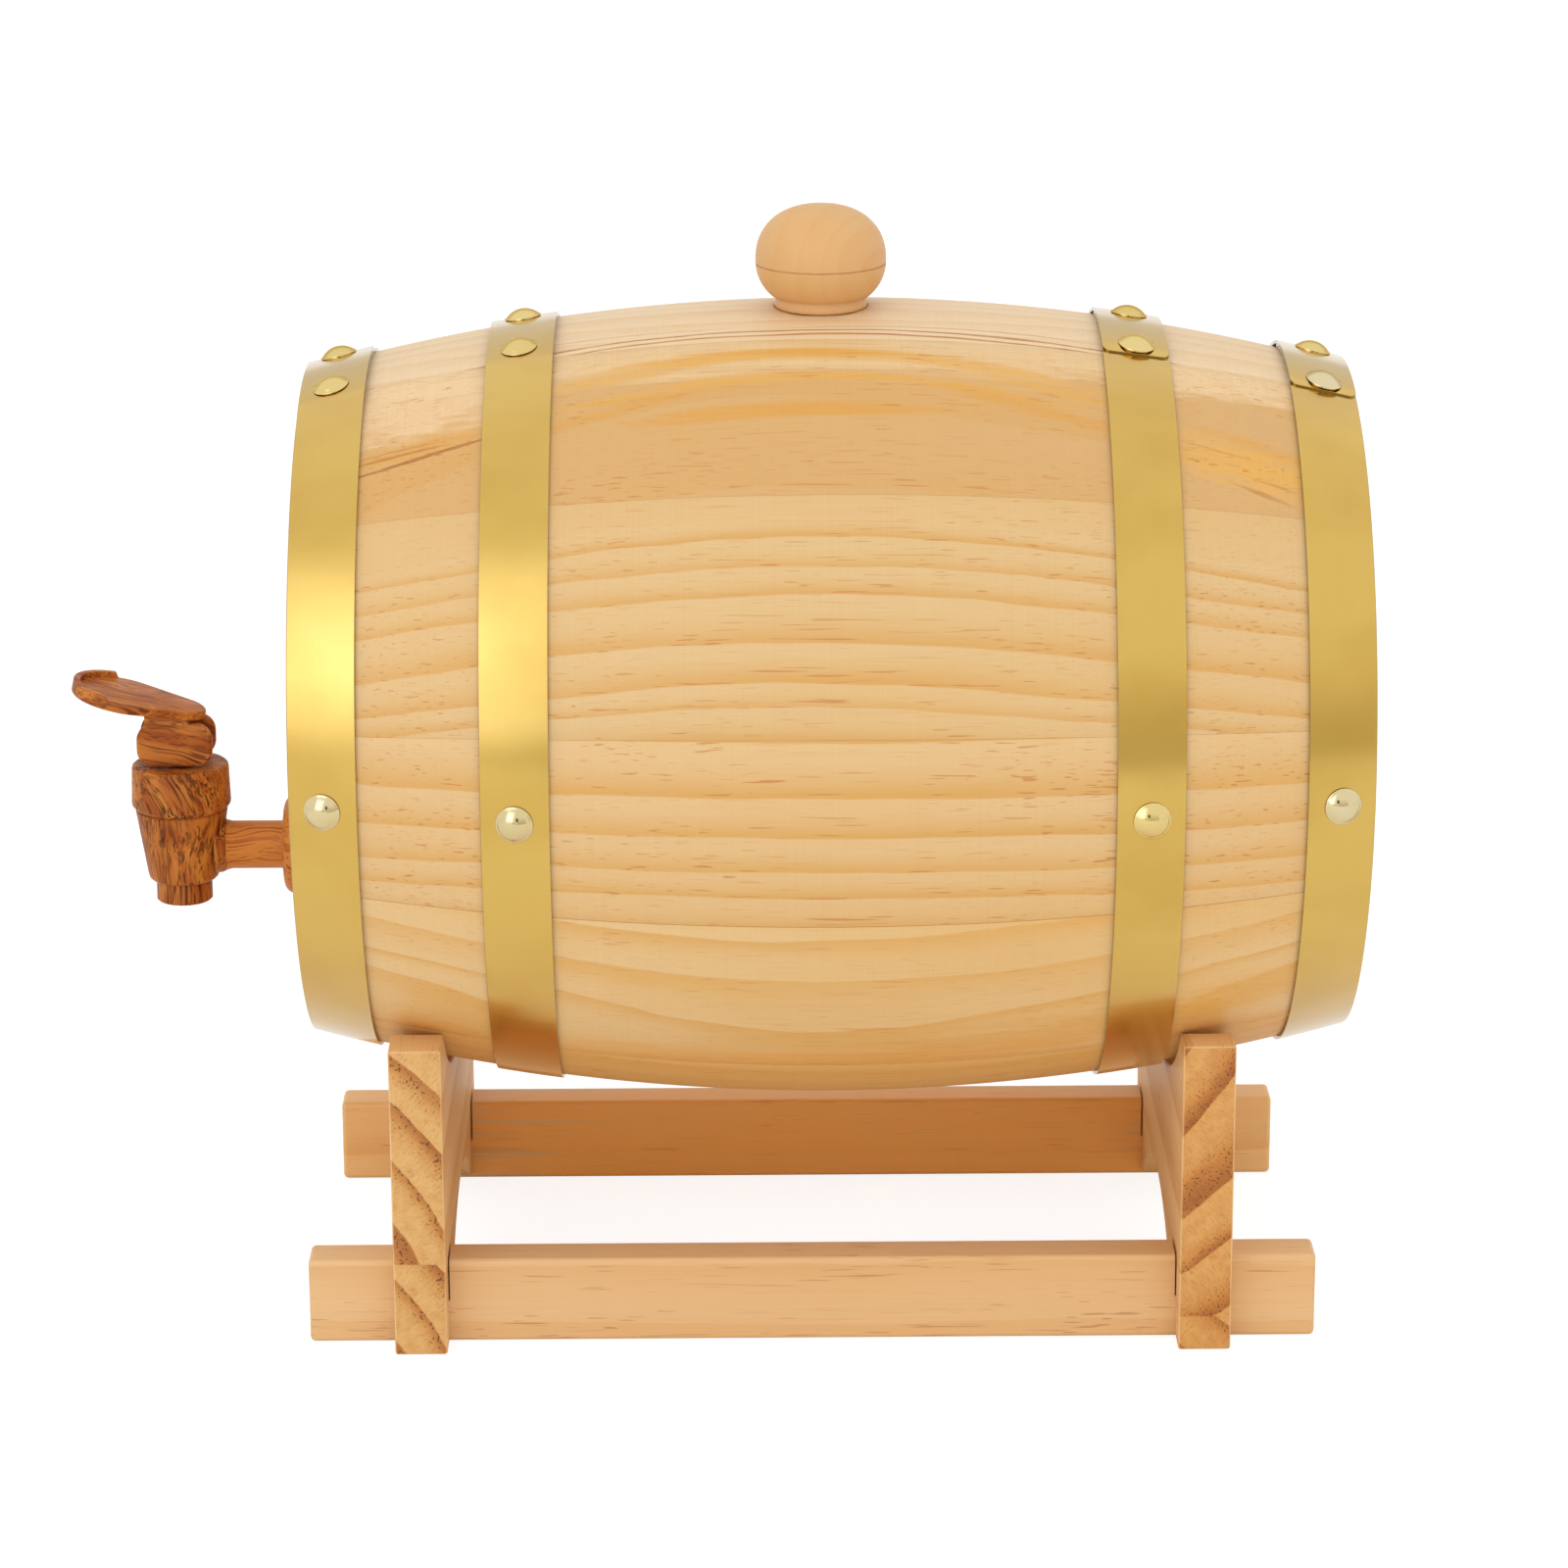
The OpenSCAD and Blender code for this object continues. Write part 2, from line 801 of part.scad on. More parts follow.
module cradle_section(reach) {
  touch_r = stave_out(reach) + rest_gap;
  tip_y = sqrt(touch_r * touch_r - horn_drop * horn_drop);
  arch_up = horn_drop - arch_drop;
  arch_rad = sqrt(tip_y * tip_y + arch_up * arch_up);
  difference() {
    translate([-cradle_half, 0]) square([2 * cradle_half, horn_z]);
    translate([0, axis_z - arch_drop]) circle(r = arch_rad, $fn = 360);
    foot_opening();
    for (y = [-rail_y - notch_fit, rail_y - rail_w - notch_fit])
      translate([y, -1]) square([rail_w + 2 * notch_fit, rail_h + notch_fit + 1]);
  }
}

module cradle(x, reach) {
  color(pine)
    translate([x, 0, 0])
      rotate([90, 0, 90])
        linear_extrude(cradle_t) cradle_section(reach);
}

module tap_cradle() {
  cradle(stand_x - cradle_in - cradle_t, cradle_in + stand_shift);
}

module back_cradle() {
  cradle(stand_x + cradle_in, cradle_in - stand_shift);
}

module rail(y) {
  e = rail_edge;
  color(pine)
    translate([stand_x - rail_half, y, 0])
      rotate([90, 0, 90])
        linear_extrude(2 * rail_half)
          polygon([
            [e, 0],
            [rail_w - e, 0],
            [rail_w, e],
            [rail_w, rail_h - e],
            [rail_w - e, rail_h],
            [e, rail_h],
            [0, rail_h - e],
            [0, e]
          ]);
}

module front_rail() {
  rail(-rail_y);
}

module rear_rail() {
  rail(rail_y - rail_w);
}

stave_01();
stave_02();
stave_03();
stave_04();
stave_05();
stave_06();
stave_07();
stave_08();
stave_09();
stave_10();
stave_11();
tap_head();
back_head();
tap_end_hoop();
tap_bilge_hoop();
back_bilge_hoop();
back_end_hoop();
seam_rivets();
hoop_nails();
bung();
tap_body();
outer_gasket();
inner_gasket();
tap_nut();
bonnet();
seat_cup();
valve_stem();
lever();
tap_cradle();
back_cradle();
front_rail();
rear_rail();
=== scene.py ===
"""Wooden barrel dispenser: pine staves, brass hoops, turned bung, lever tap and cradle stand."""
import math

import bmesh
import bpy
from bpy.props import FloatProperty, FloatVectorProperty, PointerProperty
from mathutils import Matrix, Vector


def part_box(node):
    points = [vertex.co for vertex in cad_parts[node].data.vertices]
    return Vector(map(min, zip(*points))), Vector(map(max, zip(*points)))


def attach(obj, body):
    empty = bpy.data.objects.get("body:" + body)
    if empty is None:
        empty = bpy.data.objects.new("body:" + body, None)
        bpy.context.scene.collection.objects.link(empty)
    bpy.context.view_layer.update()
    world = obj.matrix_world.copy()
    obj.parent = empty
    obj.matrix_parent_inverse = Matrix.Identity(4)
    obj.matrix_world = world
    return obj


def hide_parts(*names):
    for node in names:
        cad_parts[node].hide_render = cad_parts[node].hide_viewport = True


bl_info = {
    "name": "Wooden barrel dispenser",
    "version": (1, 0, 0),
    "blender": (4, 5, 0),
    "location": "3D View > Sidebar > Barrel",
    "description": "Models and finishes a small stave barrel with a lever tap on a cradle stand",
    "category": "Object",
}

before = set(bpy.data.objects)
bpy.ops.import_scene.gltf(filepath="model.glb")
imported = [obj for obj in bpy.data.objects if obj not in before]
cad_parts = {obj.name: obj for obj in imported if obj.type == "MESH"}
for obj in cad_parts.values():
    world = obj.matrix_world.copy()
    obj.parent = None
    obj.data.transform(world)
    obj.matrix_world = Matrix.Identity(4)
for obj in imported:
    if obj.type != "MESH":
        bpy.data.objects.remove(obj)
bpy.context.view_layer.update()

MM = 0.001


def size(name, description, default):
    """A length in metres that a user may change."""
    return FloatProperty(name=name, description=description, default=default, unit="LENGTH")


def tint(name, description, default):
    """A colour that a user may change."""
    return FloatVectorProperty(
        name=name, description=description, default=default, size=3, subtype="COLOR", min=0.0, max=1.0
    )


def brightness(name, description, default):
    """A strength of light that a user may change."""
    return FloatProperty(name=name, description=description, default=default, min=0.0)


class BarrelSettings(bpy.types.PropertyGroup):
    """Sizes and colours of the staves and heads."""

    length: size("Length", "Length of the barrel between its ends", 0.340)
    belly: size("Belly", "Outside diameter of the staves at the belly", 0.263)
    end: size("End", "Outside diameter of the staves at the ends", 0.2176)
    wall: size("Wall", "Thickness of the staves", 0.015)
    sanded: size("Sanded", "Depth that sanding takes off the outside", 0.00004)
    joint: size("Joint", "Gap at an open joint between two staves", 0.00018)
    edge: size("Edge", "Rounding along a stave's edges", 0.00010)
    middle: size("Middle", "Place of the barrel's middle along X", 0.04035)
    height: size("Height", "Height of the barrel's axis", 0.1965)
    head: size("Head", "Thickness of a head", 0.012)
    recess: size("Recess", "Depth of a head inside the end", 0.006)
    croze: size("Croze", "Depth of the groove that holds a head", 0.004)
    pale: tint("Pale wood", "Colour of the spring wood", (0.752, 0.523, 0.259))
    amber: tint("Amber wood", "Colour of the late wood", (0.68, 0.362, 0.090))
    fleck: tint("Flecks", "Colour of the resin flecks", (0.53, 0.190, 0.042))


class HoopSettings(bpy.types.PropertyGroup):
    """Sizes and colours of the hoops, rivets and nails."""

    width: size("Width", "Width of a hoop", 0.0215)
    strip: size("Strip", "Thickness of a hoop", 0.0012)
    fit: size("Fit", "Gap between a hoop and the staves", 0.00005)
    end_place: size("End place", "Distance from the middle to an end hoop", 0.15895)
    bilge_place: size("Bilge place", "Distance from the middle to a bilge hoop", 0.0986)
    pitch: size("Rivet pitch", "Distance between the two rivets of a seam", 0.035)
    lead: size("Lap", "Length of the lapped end beyond its rivet", 0.0056)
    dome: size("Dome", "Diameter of a domed head", 0.012)
    rise: size("Rise", "Height of a domed head", 0.003)
    brass: tint("Brass", "Colour of the hoops", (0.70, 0.455, 0.085))
    rivet: tint("Rivet brass", "Colour of the rivets", (0.80, 0.63, 0.26))
    nail: tint("Nail brass", "Colour of the nails", (0.76, 0.645, 0.39))


class BungSettings(bpy.types.PropertyGroup):
    """Sizes and colours of the bung."""

    offset: size("Offset", "Place of the bung from the barrel's middle", -0.0018)
    knob: size("Knob", "Widest diameter of the knob", 0.0425)
    hole: size("Hole", "Diameter of the bung hole", 0.0254)
    foot: size("Foot", "Diameter of the knob's foot", 0.0302)
    pale: tint("Pale wood", "Colour of the knob's spring wood", (0.78, 0.48, 0.22))
    amber: tint("Amber wood", "Colour of the knob's late wood", (0.70, 0.36, 0.125))


class TapSettings(bpy.types.PropertyGroup):
    """Sizes and colours of the tap."""

    middle: size("Middle", "Place of the tap's upright axis along X", -0.17525)
    height: size("Height", "Height of the shank's axis", 0.1455)
    shank: size("Shank", "Diameter of the shank", 0.016)
    flange: size("Flange", "Diameter of the flange", 0.033)
    bonnet: size("Bonnet", "Diameter of the bonnet", 0.033)
    paddle: size("Paddle", "Width of the lever's paddle", 0.033)
    tilt: FloatProperty(
        name="Tilt", description="Rise of the paddle", default=math.radians(13), subtype="ANGLE"
    )
    light: tint("Light grain", "Lightest colour of the grain film", (0.60, 0.215, 0.038))
    red: tint("Red grain", "Middle colour of the grain film", (0.35, 0.082, 0.012))
    dark: tint("Dark grain", "Colour of the dark streaks", (0.055, 0.014, 0.005))
    seal: tint("Seals", "Colour of the soft seals", (0.70, 0.70, 0.66))


class StandSettings(bpy.types.PropertyGroup):
    """Sizes and colours of the stand."""

    horn: size("Horn", "Height of a cradle's horns", 0.1046)
    half_width: size("Half width", "Half the width of a cradle", 0.09365)
    foot_gap: size("Foot gap", "Half the width of the arch between the feet", 0.0684)
    foot_rise: size("Foot rise", "Height of the arch between the feet", 0.026)
    notch: size("Notch", "Gap between a rail and its notch", 0.0003)
    slot: size("Slot", "Gap in a rail beside a cradle", 0.0005)
    arch_drop: size("Arch drop", "Drop of the arch's centre below the barrel's axis", 0.008)
    edge: size("Edge", "Rounding of the cradles' edges", 0.0009)
    rail_edge: size("Rail edge", "Rounding of the rails' edges", 0.0016)
    pale: tint("Pale wood", "Colour of the spring wood", (0.80, 0.52, 0.258))
    amber: tint("Amber wood", "Colour of the late wood", (0.70, 0.35, 0.115))
    fleck: tint("Flecks", "Colour of the resin flecks", (0.36, 0.115, 0.030))
    end_pale: tint("End grain", "Colour of the spring wood on end grain", (0.74, 0.445, 0.165))
    end_mid: tint("End grain shade", "Colour of the early late wood on end grain", (0.60, 0.28, 0.072))
    end_late: tint("End grain line", "Colour of the late wood on end grain", (0.37, 0.115, 0.026))


class StageSettings(bpy.types.PropertyGroup):
    """Light and background."""

    floor: tint("Floor", "Colour of the floor", (0.92, 0.91, 0.90))
    world: brightness("World", "Strength of the light from all sides", 0.93)
    key: brightness("Key", "Power of the softbox at the tap's side", 5.0)
    glare: brightness("Glare", "Brightness of each step of the softbox in gloss", 0.27)
    top: brightness("Top", "Power of the softbox above", 4.5)
    fill: brightness("Fill", "Power of the large soft fill", 6.0)


SETTINGS = {
    "barrel_settings": BarrelSettings,
    "hoop_settings": HoopSettings,
    "bung_settings": BungSettings,
    "tap_settings": TapSettings,
    "stand_settings": StandSettings,
    "stage_settings": StageSettings,
}


# Modelling steps


def clear_selection():
    """Object mode, with nothing selected."""
    if bpy.context.mode != "OBJECT":
        bpy.ops.object.mode_set(mode="OBJECT")
    bpy.ops.object.select_all(action="DESELECT")


def pick(piece):
    """Object mode, with one piece selected and active."""
    clear_selection()
    bpy.context.view_layer.objects.active = piece
    piece.select_set(True)


def edit(piece):
    """Edit mode on one piece, with all of it selected."""
    pick(piece)
    bpy.ops.object.mode_set(mode="EDIT")
    bpy.ops.mesh.select_all(action="SELECT")


def place_applied():
    """The active object's place goes into its mesh."""
    bpy.ops.object.transform_apply(location=True, rotation=True, scale=True)
    return bpy.context.object


def set_down(piece, place, turn):
    """Turns a piece about the origin and moves it to its place, both in its mesh."""
    piece.rotation_euler = turn
    piece.location = place
    pick(piece)
    return place_applied()


def close_up():
    """Merges doubles and turns the faces outwards, then leaves edit mode."""
    bpy.ops.mesh.select_all(action="SELECT")
    bpy.ops.mesh.remove_doubles(threshold=2e-6)
    bpy.ops.mesh.normals_make_consistent(inside=False)
    bpy.ops.object.mode_set(mode="OBJECT")


def tidy_mesh(piece):
    """Drops doubles and turns the faces outwards."""
    edit(piece)
    close_up()
    return piece


def draw_line(points):
    """One vertex, extruded from point to point. Left in edit mode."""
    clear_selection()
    bpy.ops.mesh.primitive_plane_add(size=MM, location=points[0])
    piece = place_applied()
    edit(piece)
    bpy.ops.mesh.merge(type="CENTER")
    for a, b in zip(points, points[1:]):
        step = Vector(b) - Vector(a)
        bpy.ops.mesh.extrude_vertices_move(TRANSFORM_OT_translate={"value": step})
    bpy.ops.mesh.select_all(action="SELECT")
    return piece


def extrude(step):
    """Extrudes the selected faces by a step."""
    bpy.ops.mesh.extrude_region_move(TRANSFORM_OT_translate={"value": step})


def draw_slab(points, step):
    """A slab from a closed outline, extruded by a step."""
    piece = draw_line(points)
    bpy.ops.mesh.edge_face_add()
    extrude(step)
    close_up()
    return piece


def arc(centre, radius, start, end, steps):
    """Points along an arc in a plane, from one angle to another."""
    angles = [start + (end - start) * k / steps for k in range(steps + 1)]
    return [(centre[0] + radius * math.cos(a), centre[1] + radius * math.sin(a)) for a in angles]


def spin(angle, steps, centre, axis):
    """Spins what is selected, right-handed about the axis."""
    bpy.ops.mesh.spin(steps=steps, angle=-angle, center=centre, axis=axis, use_auto_merge=False)


def turn_on_lathe(points, origin, axis, steps=96):
    """A turned piece from (radius, height) points, about Z, or about X with height along X."""
    if axis == "Z":
        line = [Vector(origin) + Vector((r, 0, h)) for r, h in points]
        direction = (0, 0, 1)
    else:
        line = [Vector(origin) + Vector((h, 0, r)) for r, h in points]
        direction = (1, 0, 0)
    piece = draw_line(line)
    spin(2 * math.pi, steps, origin, direction)
    close_up()
    return piece


def modify(piece, kind, **values):
    """Adds one modifier, sets it and applies it."""
    pick(piece)
    bpy.ops.object.modifier_add(type=kind)
    modifier = piece.modifiers[-1]
    for key, value in values.items():
        setattr(modifier, key, value)
    bpy.ops.object.modifier_apply(modifier=modifier.name)
    return piece


def combine(piece, other, operation):
    """Cuts another piece out of this one, or joins it on, and removes the other."""
    modify(piece, "BOOLEAN", operation=operation, object=other, solver="EXACT")
    bpy.data.objects.remove(other)
    return piece


def ease(piece, width, segments=2, angle=35):
    """Rounds the edges that are sharper than an angle."""
    return modify(
        piece, "BEVEL", width=width, segments=segments, limit_method="ANGLE",
        angle_limit=math.radians(angle), use_clamp_overlap=True, miter_outer="MITER_ARC",
    )


def add_cylinder(radius, low, high, around, axis="Z", vertices=96):
    """A cylinder between two heights on an axis through a point."""
    clear_selection()
    mid = (low + high) / 2
    if axis == "Z":
        where, turn = (around[0], around[1], mid), (0, 0, 0)
    else:
        where, turn = (mid, around[1], around[2]), (0, math.pi / 2, 0)
    bpy.ops.mesh.primitive_cylinder_add(
        vertices=vertices, radius=radius, depth=high - low, location=where, rotation=turn
    )
    return place_applied()


def add_block(low, high):
    """A block between two corners."""
    clear_selection()
    low, high = Vector(low), Vector(high)
    bpy.ops.mesh.primitive_cube_add(size=1, location=(low + high) / 2)
    bpy.context.object.scale = high - low
    return place_applied()


def join(pieces):
    """Joins pieces into the first one."""
    clear_selection()
    for piece in pieces:
        piece.select_set(True)
    bpy.context.view_layer.objects.active = pieces[0]
    bpy.ops.object.join()
    return pieces[0]


def finish_piece(piece, name, body, nodes, material, smooth=32, flat=False):
    """Names, shades, paints and seats a piece; flat faces may keep their own shading."""
    if not piece.data.polygons:
        raise RuntimeError(f"{name} has no faces")
    pick(piece)
    bpy.ops.object.shade_smooth_by_angle(angle=math.radians(smooth))
    if flat:
        modify(piece, "WEIGHTED_NORMAL", keep_sharp=True)
    piece.name = name
    piece.data.name = name
    piece.data.materials.clear()
    piece.data.materials.append(material)
    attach(piece, body)
    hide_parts(*nodes)
    piece.select_set(False)
    return piece


# Material steps


PLAIN = (1.0, 1.0, 1.0)


def shaded(colour, factors):
    """A colour with each channel scaled by its own factor."""
    return [c * m for c, m in zip(colour, factors)]


def darker(colour, share):
    """A colour scaled as a whole."""
    return [c * share for c in colour]


class Finish:
    """A material, and short ways to add nodes to it."""

    def __init__(self, name):
        self.material = bpy.data.materials.new(name)
        self.material.use_nodes = True
        self.tree = self.material.node_tree
        self.shader = self.tree.nodes["Principled BSDF"]

    def put(self, socket, value):
        """Links a socket, or sets its value."""
        if isinstance(value, bpy.types.NodeSocket):
            self.tree.links.new(value, socket)
        elif hasattr(value, "__len__") and len(value) == 3 and socket.type == "RGBA":
            socket.default_value = (*value, 1.0)
        else:
            socket.default_value = value

    def node(self, kind, inputs=None, **values):
        """A node with its settings and inputs."""
        made = self.tree.nodes.new(kind)
        for key, value in values.items():
            setattr(made, key, value)
        for key, value in (inputs or {}).items():
            self.put(made.inputs[key], value)
        return made

    def coords(self):
        """Places on the piece in metres, in the shared frame."""
        return self.node("ShaderNodeTexCoord").outputs["Object"]

    def normal(self):
        """The way that the surface faces."""
        return self.node("ShaderNodeNewGeometry").outputs["Normal"]

    def mapping(self, vector, location=(0, 0, 0), rotation=(0, 0, 0), scale=(1, 1, 1)):
        """A vector scaled, turned and moved."""
        return self.node(
            "ShaderNodeMapping",
            {"Vector": vector, "Location": location, "Rotation": rotation, "Scale": scale},
        ).outputs[0]

    def noise(self, vector, scale, detail=2.0, rough=0.5, colour=False):
        """Noise with its own scale along each axis, in features per metre."""
        stretched = self.mapping(vector, scale=scale)
        made = self.node(
            "ShaderNodeTexNoise",
            {"Vector": stretched, "Scale": 1.0, "Detail": detail, "Roughness": rough},
        )
        return made.outputs["Color" if colour else "Fac"]

    def wander(self, vector, scale, detail, reach):
        """A shift across the grain that wanders by a reach."""
        drift = self.noise(vector, scale, detail, colour=True)
        drift = self.vector("SUBTRACT", drift, (0.5, 0.5, 0.5))
        return self.vector("MULTIPLY", drift, (0, reach, reach))

    def math(self, operation, a, b=0.0, c=0.0, clamp=False):
        """A sum on up to three numbers."""
        return self.node(
            "ShaderNodeMath", {0: a, 1: b, 2: c}, operation=operation, use_clamp=clamp
        ).outputs[0]

    def vector(self, operation, a, b=(0, 0, 0)):
        """A sum on two vectors."""
        made = self.node("ShaderNodeVectorMath", {0: a, 1: b}, operation=operation)
        return made.outputs["Value" if operation in ("LENGTH", "DOT_PRODUCT") else "Vector"]

    def scaled(self, vector, factor):
        """A vector times a number."""
        made = self.node("ShaderNodeVectorMath", {0: vector, "Scale": factor}, operation="SCALE")
        return made.outputs["Vector"]

    def axis(self, vector, index):
        """One part of a vector."""
        return self.node("ShaderNodeSeparateXYZ", {0: vector}).outputs[index]

    def ramp(self, fac, stops):
        """A ramp of (place, grey value) stops."""
        made = self.node("ShaderNodeValToRGB", {0: fac})
        elements = made.color_ramp.elements
        while len(elements) < len(stops):
            elements.new(1.0)
        for element, (where, value) in zip(elements, stops):
            element.position = where
            element.color = (value, value, value, 1.0)
        return made.outputs[0]

    def span(self, value, low, high, to_low=0.0, to_high=1.0):
        """A value between two ends, mapped to two others and kept between them."""
        return self.node(
            "ShaderNodeMapRange",
            {"Value": value, "From Min": low, "From Max": high, "To Min": to_low, "To Max": to_high},
        ).outputs[0]

    def mix(self, fac, a, b):
        """One colour, or another, by a share."""
        made = self.node("ShaderNodeMix", data_type="RGBA")
        self.put(made.inputs[0], fac)
        self.put(made.inputs[6], a)
        self.put(made.inputs[7], b)
        return made.outputs[2]

    def bump(self, height, strength, distance):
        """Fine relief on the surface."""
        made = self.node(
            "ShaderNodeBump", {"Height": height, "Strength": strength, "Distance": distance}
        )
        self.put(self.shader.inputs["Normal"], made.outputs[0])

    def set(self, **values):
        """Sets the shader's own sockets, with _ for a space."""
        for key, value in values.items():
            self.put(self.shader.inputs[key.replace("_", " ")], value)

    def glow(self, colour, strength):
        """Makes the whole surface shine by itself."""
        made = self.node("ShaderNodeEmission", {"Color": colour, "Strength": strength})
        self.tree.links.new(made.outputs[0], self.tree.nodes["Material Output"].inputs["Surface"])


# Pine


# Share of late wood over one ring, from its start to its sharp end
LATE_WOOD = (
    (0.0, 0.10), (0.03, 0.0), (0.35, 0.08), (0.62, 0.38),
    (0.82, 0.80), (0.93, 1.0), (0.985, 0.95), (1.0, 0.10),
)
# Scales of the figure in features per metre, along the grain and twice across it
BROAD_SWAY = (4.5, 17, 17)
SMALL_SWAY = (22, 80, 80)
BROKEN_RINGS = (8, 90, 90)
FIBRES = (16, 1700, 1700)
TONES = (5, 34, 34)
RAGGED_EDGES = (7, 300, 300)
FLECK_GROUPS = (11, 40, 40)
FLECK_SPOTS = (90, 1500, 1500)
FLECK_DASHES = (46, 1350, 1350)
END_CANALS = (260, 1300, 1300)
END_CLOUDS = (60, 230, 230)
# Scales of the rays on end grain, away from the heart, round it and along the board
END_RAYS = (330, 2600, 1)
# Scale of the marks that a tool leaves round the barrel
TOOL_MARKS = (1500, 9, 9)
# How far the rings sway, in metres
BROAD_REACH = 0.012
SMALL_REACH = 0.0024
# Lean of the grain in a stave or rail, in radians
GRAIN_LEAN = 0.004


def ring_count(f, distance, ring, edges):
    """Rings counted from the heart, unevenly wide, or with their edges at given distances."""
    if edges is None:
        uneven = f.node(
            "ShaderNodeTexNoise", {"W": distance, "Scale": 0.45 / ring, "Detail": 1.0},
            noise_dimensions="1D",
        ).outputs["Fac"]
        return f.math("MULTIPLY_ADD", uneven, 1.6, f.math("DIVIDE", distance, ring))
    last = len(edges) - 1
    reach = edges[-1] - edges[0]
    stops = [((edge - edges[0]) / reach, k / last) for k, edge in enumerate(edges)]
    placed = f.ramp(f.span(distance, edges[0], edges[-1]), stops)
    return f.math("MULTIPLY", placed, last * 0.9999)


def late_share(f, seeded, count, seed, contrast):
    """Share of late wood, stronger in some years and broken here and there."""
    year = f.node(
        "ShaderNodeTexWhiteNoise", {"W": f.math("ADD", f.math("FLOOR", count), seed)},
        noise_dimensions="1D",
    ).outputs["Value"]
    late = f.ramp(f.math("FRACT", count), LATE_WOOD)
    late = f.math("MULTIPLY", late, f.span(year, 0.0, 1.0, 0.80 * contrast, contrast))
    broken = f.span(f.noise(seeded, BROKEN_RINGS), 0.36, 0.60, 0.80, 1.0)
    return f.math("MULTIPLY", late, broken)


def add_patches(f, colour, near, seeded, fibre, patches):
    """Lenses of another colour with ragged edges: streaks, and painted bounce light and shade."""
    ragged = f.span(f.noise(seeded, RAGGED_EDGES, 2.0, 0.6), 0.25, 0.75, -0.55, 0.55)
    for (along, across), (long, high), lean, bow, soft, paint, strength in patches:
        x = f.math("SUBTRACT", f.axis(near, 0), along * MM)
        bowed = f.math("MULTIPLY", x, x)
        drift = f.math("MULTIPLY_ADD", bowed, bow / MM, f.math("MULTIPLY", x, lean))
        y = f.math("SUBTRACT", f.math("SUBTRACT", f.axis(near, 1), across * MM), drift)
        x = f.math("DIVIDE", x, long * MM)
        y = f.math("DIVIDE", y, high * MM)
        inside = f.math("ADD", f.math("MULTIPLY_ADD", x, x, f.math("MULTIPLY", y, y)), ragged)
        inside = f.span(inside, soft, 1.0, strength, 0.0)
        inside = f.math("MULTIPLY", inside, f.span(fibre, 0.32, 0.62, 0.62, 1.0))
        colour = f.mix(inside, colour, paint)
    return colour


def fleck_marks(f, seeded, late, flecks):
    """Short resin marks: spots in groups, and dashes that follow the late wood."""
    groups = f.span(f.noise(seeded, FLECK_GROUPS, 1.0), 0.46, 0.62, 0.0, 0.8)
    spot = f.span(f.noise(seeded, FLECK_SPOTS, 0.0), 0.740, 0.778)
    elsewhere = f.vector("ADD", seeded, (3, 5, 7))
    dash = f.span(f.noise(elsewhere, FLECK_DASHES, 0.0), 0.708, 0.768)
    dash = f.math("MULTIPLY", dash, f.span(late, 0.0, 0.35, 0.20, 0.85))
    either = f.math("MAXIMUM", f.math("MULTIPLY", spot, groups), dash)
    return f.math("MULTIPLY", either, 0.88 * flecks, clamp=True)


def add_end_grain(f, colour, seeded, from_heart, distance, late, seed, end):
    """End grain where the surface faces along the axis of the end: rings, rays and resin canals."""
    face = f.vector("DOT_PRODUCT", f.normal(), end["axis"])
    on_end = f.span(f.math("ABSOLUTE", face), 0.75, 0.95)
    sides = f.node("ShaderNodeSeparateXYZ", {0: from_heart})
    angle = f.math("ARCTAN2", sides.outputs[2], sides.outputs[1])
    round_heart = f.math("MULTIPLY", angle, end.get("reach", 0.12))
    polar = f.node("ShaderNodeCombineXYZ", {0: distance, 1: round_heart, 2: seed}).outputs[0]
    ray = f.span(f.noise(polar, END_RAYS, 1.0), 0.55, 0.70, 0.0, 0.34)
    canal = f.span(f.noise(seeded, END_CANALS, 0.0), 0.64, 0.71)
    canal = f.math("MULTIPLY", canal, f.span(late, 0.10, 0.55, 0.05, 0.9))
    clouds = f.noise(seeded, END_CLOUDS, 3.0, 0.6)
    band = f.mix(f.span(clouds, 0.35, 0.70, 0.0, 0.5), end["pale"], end["mid"])
    band = f.mix(f.span(late, 0.06, 0.45), band, end["mid"])
    band = f.mix(f.span(late, 0.40, 0.82, 0.0, 0.95), band, end["late"])
    band = f.mix(ray, band, end["late"])
    band = f.mix(canal, band, darker(end["late"], 0.45))
    return f.mix(on_end, colour, band)


